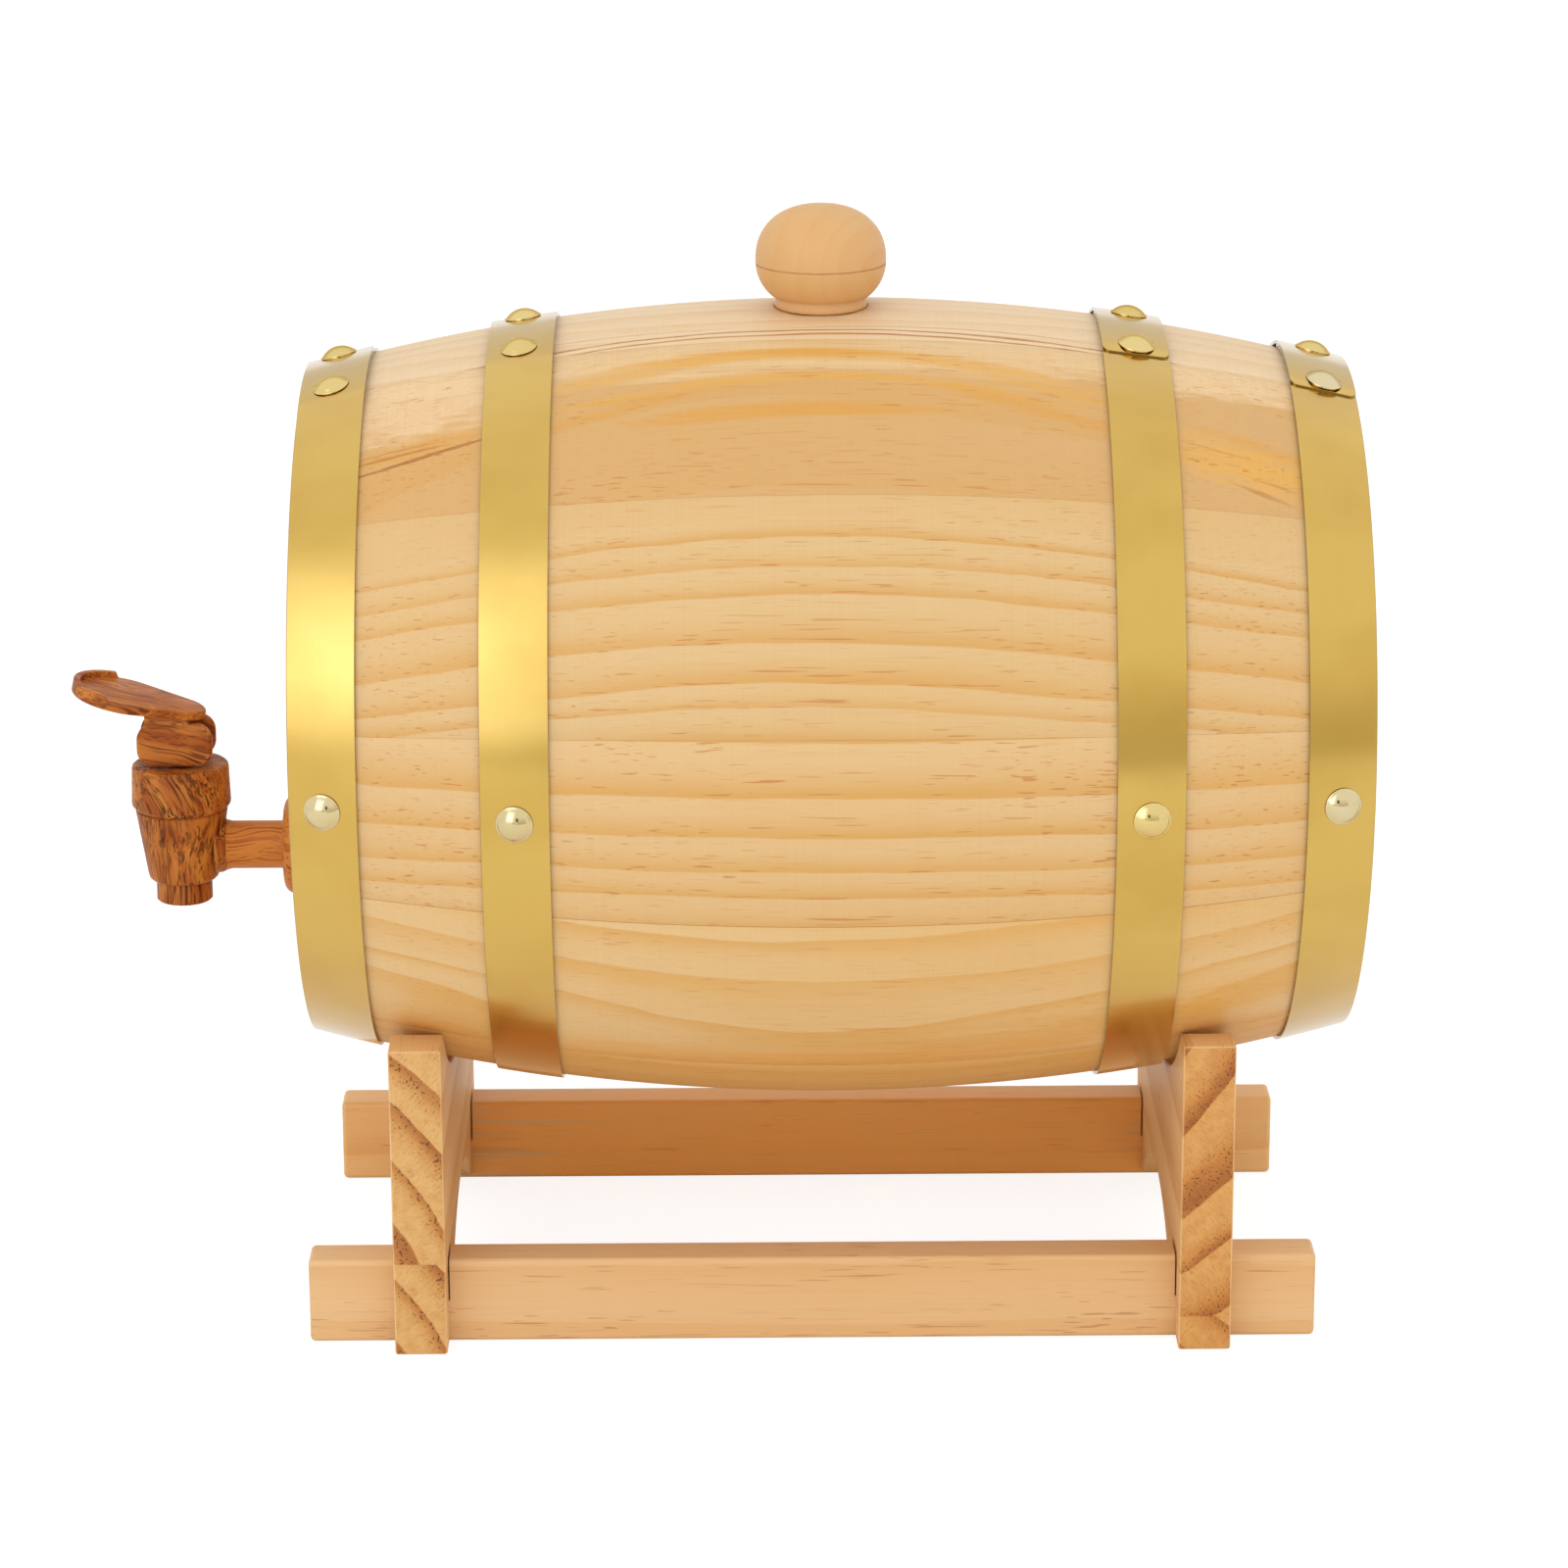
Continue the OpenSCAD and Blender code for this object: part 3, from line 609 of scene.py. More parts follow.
def pine(
    name, turn, centre, heart, ring, pale, amber, fleck,
    contrast=1.0, warm=0.35, flecks=1.0, seed=0.0, waves=1.0, edges=None, patches=(),
    glue=None, end=None, gloss=0.42, turned=0.0,
):
    """Pine whose grain runs along X once the piece is turned, with rings round a heart.

    Late wood starts softly and ends sharply. Ring edges may be given as distances from the heart.
    Patches are lenses of another colour: streaks, and painted bounce light and shade. Below a glue line the
    rings are shifted.
    """
    f = Finish(name)
    at = f.coords()
    if glue is not None:
        level, shift = glue
        below = f.math("LESS_THAN", f.axis(at, 2), level)
        at = f.vector("ADD", at, f.scaled(shift, below))
    local = f.mapping(at, location=-(turn @ Vector(centre)), rotation=turn.to_euler("XYZ"))
    seeded = f.vector("ADD", local, (seed * 1.37, seed * 0.71, seed * 2.13))

    sway = f.wander(seeded, BROAD_SWAY, 1.0, BROAD_REACH * waves)
    small = f.wander(seeded, SMALL_SWAY, 2.0, SMALL_REACH)
    moved = f.vector("ADD", f.vector("ADD", local, sway), small)
    from_heart = f.vector("SUBTRACT", moved, heart)
    distance = f.vector("LENGTH", f.vector("MULTIPLY", from_heart, (0, 1, 1)))
    late = late_share(f, seeded, ring_count(f, distance, ring, edges), seed, contrast)

    fibre = f.noise(seeded, FIBRES, 3.0, 0.6)
    tone = f.noise(seeded, TONES)
    colour = f.mix(late, pale, amber)
    colour = f.mix(f.span(tone, 0.42, 0.70, 0.0, warm), colour, shaded(amber, (1.10, 1.14, 1.16)))
    colour = f.mix(f.span(fibre, 0.34, 0.72, 0.0, 0.13), colour, darker(amber, 0.80))
    if patches:
        drift = f.vector("ADD", f.scaled(sway, 0.3), f.scaled(small, 1.2))
        near = f.vector("ADD", local, drift)
        colour = add_patches(f, colour, near, seeded, fibre, patches)
    mark = fleck_marks(f, seeded, late, flecks)
    colour = f.mix(mark, colour, fleck)
    if end is not None:
        colour = add_end_grain(f, colour, seeded, from_heart, distance, late, seed, end)
    if turned:
        tool = f.noise(at, TOOL_MARKS, 2.0, 0.6)
        colour = f.mix(f.span(tool, 0.30, 0.72, 0.0, turned), colour, darker(amber, 0.86))

    relief = f.math("MULTIPLY_ADD", late, 0.12, f.math("MULTIPLY", fibre, 0.5))
    relief = f.math("MULTIPLY_ADD", mark, -0.25, relief)
    f.bump(relief, 0.13, 0.00010)
    f.set(
        Base_Color=colour,
        Roughness=f.span(fibre, 0.3, 0.7, gloss - 0.04, gloss + 0.07),
        Specular_IOR_Level=0.32,
    )
    return f.material


# Brass, grain film and rubber


# Scales in features per metre along X, Y and Z; the brushing runs round the barrel
BRUSH_LINES = (5200, 16, 16)
BRUSH_BANDS = (700, 9, 9)
STAINS = (20, 26, 26)
RUBBER_CLOUDS = (160, 160, 160)


def painted_edge_shade(f, at, cut_above):
    """Where a strip shows its cut sides or, above a height, its cut end; there its colour is darkened as
    painted shadow.
    """
    facing = f.node("ShaderNodeSeparateXYZ", {0: f.normal()}).outputs
    side = f.span(f.math("ABSOLUTE", facing[0]), 0.45, 0.75)
    end = f.span(facing[1], -0.62, -0.85)
    end = f.math("MULTIPLY", end, f.math("GREATER_THAN", f.axis(at, 2), cut_above))
    end = f.math("MULTIPLY", end, 0.6)
    return f.math("MAXIMUM", side, end)


def brushed_brass(name, colour, gloss, brush, coat, rim, cut_above=None):
    """Brass with fine brushing round the barrel and faint stains; a strip's cut edges get painted shadow."""
    f = Finish(name)
    at = f.coords()
    line = f.noise(at, BRUSH_LINES, 2.0, 0.6)
    band = f.noise(at, BRUSH_BANDS)
    stain = f.noise(at, STAINS, 3.0)
    shade = f.mix(f.span(stain, 0.42, 0.66, 0.0, 0.75), colour, shaded(colour, (0.88, 0.82, 0.60)))
    shade = f.mix(f.span(line, 0.30, 0.75, 0.0, 0.28 * brush), shade, darker(colour, 0.72))
    if cut_above is not None:
        # Painted shadow on the strip's cut sides and showing end, standing for the dark gaps along its edges
        shade = f.mix(painted_edge_shade(f, at, cut_above), shade, darker(colour, 0.16))
    rough = f.math("MULTIPLY_ADD", f.span(line, 0.25, 0.75), 0.12 * brush, gloss)
    rough = f.math("MULTIPLY_ADD", f.span(stain, 0.4, 0.8), 0.06, rough)
    f.bump(f.math("MULTIPLY_ADD", band, 0.4, line), 0.10 * brush, 0.00004)
    f.set(
        Base_Color=shade, Metallic=1.0, Roughness=rough, Specular_Tint=rim,
        Coat_Weight=coat, Coat_Roughness=0.14,
    )
    return f.material


def grain_film(name, turn, light, red, dark, seed, stretch=1.0, waves=1.0):
    """Moulded plastic with a printed dark wood grain that runs along X once turned."""
    f = Finish(name)
    grain = f.mapping(f.coords(), rotation=turn.to_euler("XYZ"))
    seeded = f.vector("ADD", grain, (seed * 0.31, seed * 0.17, seed * 0.23))
    moved = f.vector("ADD", seeded, f.wander(seeded, (38, 60, 60), 1.0, 0.008 * waves))
    band = f.noise(moved, (20 / stretch, 170, 170), 2.0, 0.55)
    line = f.noise(moved, (9 / stretch, 640, 640), 1.0)
    thin = f.noise(moved, (14 / stretch, 1300, 1300), 1.0)
    pore = f.noise(moved, (60 / stretch, 1250, 1250), 0.0)
    patch = f.noise(seeded, (40, 60, 60))
    colour = f.mix(f.span(band, 0.36, 0.60), light, red)
    colour = f.mix(f.span(patch, 0.50, 0.70, 0.0, 0.5), colour, light)
    gate = f.span(patch, 0.36, 0.58, 1.0, 0.30)
    streak = f.math("MULTIPLY", f.span(line, 0.555, 0.615), gate)
    colour = f.mix(f.math("MULTIPLY", streak, 0.95), colour, dark)
    colour = f.mix(f.span(thin, 0.58, 0.66, 0.0, 0.70), colour, dark)
    dots = f.math("MULTIPLY", f.span(pore, 0.62, 0.66), gate)
    colour = f.mix(dots, colour, dark)
    f.bump(f.math("ADD", streak, dots), -0.18, 0.00010)
    f.set(
        Base_Color=colour,
        Roughness=f.span(thin, 0.3, 0.7, 0.34, 0.46),
        Specular_IOR_Level=0.13,
    )
    return f.material


def soft_rubber(name, colour):
    """Pale, slightly cloudy rubber."""
    f = Finish(name)
    cloud = f.noise(f.coords(), RUBBER_CLOUDS, 3.0)
    f.set(
        Base_Color=f.mix(f.span(cloud, 0.35, 0.7), colour, darker(colour, 0.88)),
        Roughness=f.span(cloud, 0.3, 0.7, 0.5, 0.62),
    )
    f.bump(cloud, 0.1, 0.00005)
    return f.material


# Barrel shape


# Joints between staves in degrees from the top, seen on the near side; the far side is shared out evenly
NEAR_JOINTS = (-14.9, 14.9, 46.4, 80.7, 108.0, 140.0)
FAR_STAVES = 6
FAR_ARC = 360 + NEAR_JOINTS[0] - NEAR_JOINTS[-1]
STAVE_JOINTS = list(NEAR_JOINTS) + [
    NEAR_JOINTS[-1] + FAR_ARC * k / FAR_STAVES for k in range(1, FAR_STAVES + 1)
]
# Joints that show as a dark line; the rest are tight, and as many times narrower
OPEN_JOINTS = (0, 4, 7, 9, 11)
OPEN_TO_TIGHT = 9
# Degrees from the top to a hoop's seam and to its nails
SEAM_DEGREES = 4.5
NAIL_DEGREES = 93.0


def barrel_arc(s):
    """Radius of the staves' outside arc and the distance of its centre from the barrel's axis."""
    half, sag = s.length / 2, (s.belly - s.end) / 2
    radius = (half * half + sag * sag) / (2 * sag)
    return radius, s.belly / 2 - radius


def barrel_radius(s, x, lift=0.0):
    """Distance from the axis to a surface that lies a lift above the staves' outside."""
    radius, centre = barrel_arc(s)
    return centre + math.sqrt((radius + lift) ** 2 - x * x)


def axis_point(s):
    """The barrel's middle, on its axis."""
    return Vector((s.middle, 0, s.height))


def on_barrel(s, x, degrees, lift=0.0):
    """Matrix of a place on the barrel: Z outwards, X along the stave."""
    radius, centre = barrel_arc(s)
    return (
        Matrix.Translation(axis_point(s))
        @ Matrix.Rotation(math.radians(degrees), 4, "X")
        @ Matrix.Translation((0, 0, centre))
        @ Matrix.Rotation(math.asin(x / radius), 4, "Y")
        @ Matrix.Translation((0, 0, radius + lift))
    )


# Figure of the staves


HONEY = (0.735, 0.39, 0.072)
LIGHT_HONEY = (0.78, 0.42, 0.080)
DEEP_AMBER = (0.70, 0.335, 0.054)
# Painted bounce light from the stand, on the barrel's underside
PAINTED_BOUNCE_AMBER = (0.76, 0.37, 0.085)
BROWN = (0.39, 0.145, 0.034)
CREAM = (0.84, 0.60, 0.345)
STRAW = (0.79, 0.55, 0.285)

# Streaks: place and half size in mm along and across, lean, bow per mm, soft share, colour, strength
FIRST_STREAKS = (
    ((0, -28.4), (500, 1.1), 0.0, -0.0004, 0.4, CREAM, 0.9),
    ((0, -26.8), (500, 0.65), 0.0, -0.0004, 0.3, BROWN, 0.9),
    ((0, -29.9), (500, 0.60), 0.0, -0.0004, 0.3, BROWN, 0.85),
    ((30, -24.3), (90, 0.45), 0.0, -0.0004, 0.3, BROWN, 0.5),
    ((-70, -23.5), (60, 0.40), 0.0, -0.0004, 0.3, BROWN, 0.4),
)
SECOND_STREAKS = (
    ((0, 31), (400, 18), 0.0, 0.0, 0.15, STRAW, 0.95),
    ((-130, 16), (46, 22), 0.0, 0.0, 0.2, CREAM, 0.85),
    ((128, 26), (40, 13), 0.0, 0.0, 0.2, CREAM, 0.6),
    ((-2, 27.5), (96, 4.8), -0.02, -0.0019, 0.2, HONEY, 0.95),
    ((-4, 28.5), (44, 2.6), 0.0, -0.0015, 0.2, DEEP_AMBER, 0.75),
    ((-5, 14), (88, 3.0), 0.0, -0.0017, 0.2, HONEY, 0.9),
    ((-40, 8), (40, 1.0), 0.06, 0.0, 0.2, DEEP_AMBER, 0.5),
    ((-14, -1.2), (56, 4.4), 0.045, -0.0008, 0.35, DEEP_AMBER, 0.85),
    ((-64, 2.5), (34, 2.8), 0.28, 0.0, 0.1, DEEP_AMBER, 0.75),
    ((-56, 20), (40, 3.2), 0.20, -0.0012, 0.1, HONEY, 0.7),
    ((62, 2.5), (36, 4.2), -0.28, 0.0, 0.1, DEEP_AMBER, 0.7),
    ((70, 11), (34, 2.5), -0.30, 0.0, 0.1, HONEY, 0.7),
    ((-128, -5), (30, 4.4), 0.17, 0.0, 0.0, DEEP_AMBER, 0.75),
    ((-131, -10), (30, 0.8), 0.19, 0.0, 0.5, BROWN, 1.0),
    ((-136, -7.5), (16, 0.6), 0.12, 0.0, 0.4, BROWN, 0.7),
    ((-134, -5.0), (14, 0.5), 0.10, 0.0, 0.4, BROWN, 0.5),
    ((131, -14), (34, 12), -0.18, 0.0, 0.0, LIGHT_HONEY, 0.85),
    ((134, -5), (26, 3), -0.24, 0.0, 0.0, DEEP_AMBER, 0.6),
    ((136, -24.5), (12, 1.0), -0.28, 0.0, 0.1, BROWN, 0.55),
    ((140, -20.5), (9, 0.7), -0.22, 0.0, 0.1, BROWN, 0.45),
    ((122, -9), (16, 0.6), -0.22, 0.0, 0.1, BROWN, 0.35),
)
FIFTH_STREAKS_AND_BOUNCE = (
    ((70, -20), (90, 12), 0.14, 0.0, 0.0, DEEP_AMBER, 0.65),
    # A long warm band along the fifth stave's lower edge: painted bounce light from the stand, not a streak.
    ((0, -35), (330, 13), 0.0, 0.0, 0.0, PAINTED_BOUNCE_AMBER, 0.75),
    ((-60, 12), (50, 5), -0.10, 0.0, 0.0, HONEY, 0.5),
)

# Each stave, in mm: heart of the log from its outside and ring width, or ring edges across the stave; then
# contrast, warmth and flecks and, for some, factors on the pale and amber colours, and streaks
STAVE_GRAIN = (
    # The first stave's pale factors make it whiter: painted sheen of the light glancing off the top.
    {
        "heart": (-60, -40), "ring": 9.0, "contrast": 0.30, "warm": 0.08, "flecks": 0.35,
        "pale": (1.10, 1.20, 1.55), "streaks": FIRST_STREAKS,
    },
    {
        "heart": (30, -70), "ring": 14.0, "contrast": 0.30, "warm": 0.25, "flecks": 1.0,
        "pale": (0.89, 0.775, 0.64), "amber": (0.96, 0.90, 0.75), "streaks": SECOND_STREAKS,
    },
    {
        "heart": (50, -40), "edges": (46, 30, 17, 7, -9, -21.5, -28, -37),
        "contrast": 0.90, "warm": 0.22, "flecks": 0.85,
        "pale": (0.96, 0.95, 0.93), "amber": (0.97, 0.95, 0.90),
    },
    {
        "heart": (95, -12), "edges": (40, 31, 13, 0, -12, -21, -34),
        "contrast": 1.0, "warm": 0.25, "flecks": 0.95, "pale": (0.99, 0.96, 0.95),
    },
    {
        "heart": (-18, -33), "ring": 11.0, "contrast": 0.75, "warm": 0.45, "flecks": 0.5,
        "pale": (1.02, 1.01, 0.98), "amber": (1.02, 0.98, 0.85), "streaks": FIFTH_STREAKS_AND_BOUNCE,
    },
    # The sixth stave's warmer pale is painted bounce light from the stand under the barrel.
    {
        "heart": (-30, -34), "ring": 9.5, "contrast": 0.8, "warm": 0.45, "flecks": 0.7,
        "pale": (0.98, 0.80, 0.55),
    },
    {"heart": (64, -20), "ring": 11.0, "contrast": 0.85, "warm": 0.40, "flecks": 0.8},
    {"heart": (-82, -14), "ring": 10.0, "contrast": 0.9, "warm": 0.35, "flecks": 0.9},
    {
        "heart": (40, -28), "ring": 8.8, "contrast": 0.7, "warm": 0.50, "flecks": 1.0,
        "pale": (0.95, 0.92, 0.86),
    },
    {"heart": (-24, -30), "ring": 12.0, "contrast": 0.8, "warm": 0.60, "flecks": 0.7},
    {"heart": (75, -18), "ring": 9.6, "contrast": 0.85, "warm": 0.30, "flecks": 0.8},
)


class BARREL_OT_staves(bpy.types.Operator):
    """Model the eleven staves with the groove for each head and the bung hole"""

    bl_idname = "barrel.staves"
    bl_label = "Staves"

    # Slack on each side of a head in its groove, and depth and slack of the seat for the bung's foot
    GROOVE_SLACK = 0.0001
    SEAT_DEPTH = 0.0009
    SEAT_SLACK = 0.0003

    def section(self, s, turn):
        """The stave's section as points, turned to its first edge."""

        def wall(x):
            return x, barrel_radius(s, x, -s.wall)

        half = s.length / 2
        head_in = half - s.recess - s.head
        near = half - s.recess + self.GROOVE_SLACK
        far = head_in - self.GROOVE_SLACK
        groove = barrel_radius(s, head_in, -s.wall) + s.croze
        outside, inside = 28, 12
        outer = [half * (k / outside - 1) for k in range(2 * outside + 1)]
        points = [(x, barrel_radius(s, x, -s.sanded)) for x in outer]
        points += [wall(half), wall(near), (near, groove), (far, groove), wall(far)]
        points += [wall(head_in * k / inside) for k in range(inside - 1, -inside, -1)]
        points += [wall(-far), (-far, groove), (-near, groove), wall(-near), wall(-half)]
        return [axis_point(s) + turn @ Vector((x, 0, r)) for x, r in points]

    def bore(self, piece, s, bung):
        """Cuts the bung hole and the shallow seat for the bung's foot."""
        around = (s.middle + bung.offset, 0, 0)
        top = s.height + s.belly / 2
        for radius, low, high in (
            (bung.hole / 2, top - 0.05, top + 0.02),
            (bung.foot / 2 + self.SEAT_SLACK, top - self.SEAT_DEPTH, top + 0.01),
        ):
            combine(piece, add_cylinder(radius, low, high, around), "DIFFERENCE")
        tidy_mesh(piece)

    def wood(self, s, i, low, high):
        """The pine of one stave, with its own log."""
        g = STAVE_GRAIN[i]
        upright = Matrix.Rotation(-math.radians(low + high) / 2, 3, "X")
        turn = Matrix.Rotation(GRAIN_LEAN, 3, "Z") @ upright
        heart_y, heart_z = (v * MM for v in g["heart"])
        edges = None
        if "edges" in g:
            edges = sorted(math.hypot(y * MM - heart_y, heart_z) for y in g["edges"])
        amber = shaded(s.amber, g.get("amber", PLAIN))
        return pine(
            f"stave_pine_{i + 1:02d}", turn, axis_point(s), (0, heart_y, s.belly / 2 + heart_z),
            g.get("ring", 10.0) * MM, shaded(s.pale, g.get("pale", PLAIN)), amber, s.fleck,
            contrast=g["contrast"], warm=g["warm"], flecks=g["flecks"], seed=1.7 * i + 0.4,
            waves=0.5 if edges else 1.0, edges=edges, patches=g.get("streaks", ()), turned=0.10,
            end={
                "axis": (1, 0, 0), "pale": shaded(s.pale, (0.92, 0.88, 0.80)),
                "mid": amber, "late": shaded(amber, (0.62, 0.50, 0.42)),
            },
        )

    def execute(self, context):
        s, bung = context.scene.barrel_settings, context.scene.bung_settings
        open_joint = s.joint / (s.belly / 2)
        tight = s.joint / OPEN_TO_TIGHT / (s.belly / 2)
        gaps = [open_joint if k in OPEN_JOINTS else tight for k in range(len(STAVE_JOINTS))]
        for i, (low, high) in enumerate(zip(STAVE_JOINTS, STAVE_JOINTS[1:])):
            first = math.radians(low) + gaps[i] / 2
            width = math.radians(high) - gaps[i + 1] / 2 - first
            piece = draw_line(self.section(s, Matrix.Rotation(first, 3, "X")))
            bpy.ops.mesh.edge_face_add()
            spin(width, 14, axis_point(s), (1, 0, 0))
            close_up()
            if i == 0:
                self.bore(piece, s, bung)
            ease(piece, s.edge, segments=2, angle=50)
            name = f"stave_{i + 1:02d}"
            wood = self.wood(s, i, low, high)
            finish_piece(piece, f"barrel_{name}", "barrel", [name], wood)
        return {"FINISHED"}


class BARREL_OT_heads(bpy.types.Operator):
    """Model the two heads from edge-jointed boards"""

    bl_idname = "barrel.heads"
    bl_label = "Heads"

    # Joints between a head's boards across the barrel
    CUTS = {"tap_head": (-0.048, 0.006, 0.055), "back_head": (-0.0615, -0.010, 0.0445)}
    # Half the gap at a joint, rounding of the boards' edges, and slack in the groove and round the shank
    HALF_GAP = 0.00006
    EDGE = 0.00035
    GROOVE_SLACK = 0.0001
    SHANK_SLACK = 0.0002
    # A length well past any side of a head, and one well past its faces
    BEYOND = 0.2
    THROUGH = 0.01

    def boards(self, s, node, low, high, radius):
        """A disc cut into boards, with a fine joint between them."""
        made = []
        cuts = (-self.BEYOND, *self.CUTS[node], self.BEYOND)
        for y0, y1 in zip(cuts, cuts[1:]):
            board = add_cylinder(radius, low, high, axis_point(s), "X", 160)
            for y, outer in ((y1 - self.HALF_GAP, True), (y0 + self.HALF_GAP, False)):
                edit(board)
                bpy.ops.mesh.bisect(
                    plane_co=(0, y, 0), plane_no=(0, 1, 0), use_fill=True,
                    clear_outer=outer, clear_inner=not outer,
                )
                close_up()
            made.append(ease(board, self.EDGE, segments=2, angle=50))
        return join(made)

    def execute(self, context):
        s, tap = context.scene.barrel_settings, context.scene.tap_settings
        half = s.length / 2
        inside = half - s.recess - s.head
        radius = barrel_radius(s, inside, -s.wall) + s.croze - self.GROOVE_SLACK
        ends = {"tap_head": (-half + s.recess, -inside), "back_head": (inside, half - s.recess)}
        for k, (node, (first, last)) in enumerate(ends.items()):
            low, high = s.middle + first, s.middle + last
            piece = self.boards(s, node, low, high, radius)
            if node == "tap_head":
                bore, around = tap.shank / 2 + self.SHANK_SLACK, (0, 0, tap.height)
                hole = add_cylinder(bore, low - self.THROUGH, high + self.THROUGH, around, "X")
                combine(piece, hole, "DIFFERENCE")
            turn = Matrix.Rotation(0.01 + 0.02 * k, 3, "Z") @ Matrix.Rotation(math.pi / 2, 3, "Y")
            wood = pine(
                f"{node}_pine", turn, axis_point(s), (0, 0.03 - 0.05 * k, 0.035 + 0.01 * k), 0.0085,
                s.pale, s.amber, s.fleck, contrast=0.85, warm=0.4, flecks=0.8, seed=31 + 5 * k,
            )
            finish_piece(piece, f"barrel_{node}", "barrel", [node], wood)
        return {"FINISHED"}


class BARREL_OT_hoops(bpy.types.Operator):
    """Model the four hoops, each a strip that laps over its own end"""

    bl_idname = "barrel.hoops"
    bl_label = "Hoops"

    # Angle of each of the two arcs that lift the strip over its own start
    LIFT_ANGLE = math.radians(7)
    # How much the showing end is thinned, the rounding of its corners, and the rounding of the edges
    THINNED = 0.0006
    CORNER = 0.0028
    EDGE = 0.00012
    # Outer points of a hoop's end stand at least this far above the line between its inner corners
    BEND = 0.0007
    # Height above the barrel's axis past which an end of the strip shows and gets painted shadow
    END_HEIGHT = 0.100

    def section(self, s, h, x):
        """The strip's section, bent like the staves under it."""
        across = [x + h.width * (k / 4 - 0.5) for k in range(5)]
        points = [(a, barrel_radius(s, a, h.fit + h.strip)) for a in across]
        return points + [(a, barrel_radius(s, a, h.fit)) for a in reversed(across)]

    def outwards(self, angle):
        """The way out from the barrel's axis at an angle from the top."""
        return Matrix.Rotation(angle, 3, "X") @ Vector((0, 0, 1))

    def shape_end(self, piece, angle):
        """Thins the strip's showing end and rounds its two corners."""
        mesh = bmesh.from_edit_mesh(piece.data)
        out = self.outwards(angle)
        rim = [e for e in mesh.edges if e.select]
        ring = {v for e in rim for v in e.verts}
        corners = [e for e in rim if abs((e.verts[1].co - e.verts[0].co).normalized().dot(out)) > 0.9]
        lows = {min(e.verts, key=lambda v: v.co.dot(out)) for e in corners}
        a, b = sorted(lows, key=lambda c: c.co.x)
        inner = set(lows)
        for v in ring:
            share = (v.co.x - a.co.x) / (b.co.x - a.co.x)
            if (v.co - a.co.lerp(b.co, share)).dot(out) < self.BEND:
                inner.add(v)
        bpy.ops.mesh.select_all(action="DESELECT")
        for v in ring - inner:
            v.select = True
        mesh.select_flush_mode()
        bmesh.update_edit_mesh(piece.data)
        bpy.ops.transform.translate(value=out * -self.THINNED)
        bpy.ops.mesh.select_all(action="DESELECT")
        for e in corners:
            e.select = True
        bmesh.update_edit_mesh(piece.data)
        bpy.ops.mesh.bevel(offset=self.CORNER, segments=6, affect="EDGES")

    def strip(self, s, h, x):
        """One hoop, wound once round the barrel from its seam and over its own start."""
        way = 1 if x > 0 else -1
        lap = (h.pitch / 2 + h.lead) / barrel_radius(s, x)
        start = math.radians(SEAM_DEGREES) - way * lap
        turn = Matrix.Rotation(start, 3, "X")
        axis = axis_point(s)
        piece = draw_line([axis + turn @ Vector((a, 0, r)) for a, r in self.section(s, h, x)])
        bpy.ops.mesh.edge_face_add()
        around = 2 * math.pi - 2 * self.LIFT_ANGLE
        spin(way * around, 168, axis, (1, 0, 0))
        # Two short arcs about shifted centres lift the strip by its own thickness
        shift = h.strip / 2 / (1 - math.cos(self.LIFT_ANGLE))
        out = self.outwards(start + way * around)
        spin(way * self.LIFT_ANGLE, 8, axis - out * shift, (1, 0, 0))
        out = self.outwards(start + way * 2 * math.pi)
        spin(way * self.LIFT_ANGLE, 8, axis + out * (shift + h.strip), (1, 0, 0))
        spin(way * 2 * lap, 14, axis, (1, 0, 0))
        self.shape_end(piece, start + way * (2 * math.pi + 2 * lap))
        close_up()
        return ease(piece, self.EDGE, segments=2, angle=40)

    def execute(self, context):
        s, h = context.scene.barrel_settings, context.scene.hoop_settings
        brass = brushed_brass(
            "hoop_brass", h.brass, gloss=0.18, brush=0.30, coat=1.0, rim=PLAIN,
            cut_above=s.height + self.END_HEIGHT,
        )
        places = {
            "tap_end_hoop": -h.end_place,
            "tap_bilge_hoop": -h.bilge_place,
            "back_bilge_hoop": h.bilge_place,
            "back_end_hoop": h.end_place,
        }
        for node, x in places.items():
            piece = self.strip(s, h, x)
            name = f"barrel_{node}"
            finish_piece(piece, name, "barrel", [node], brass, smooth=40, flat=True)
        return {"FINISHED"}


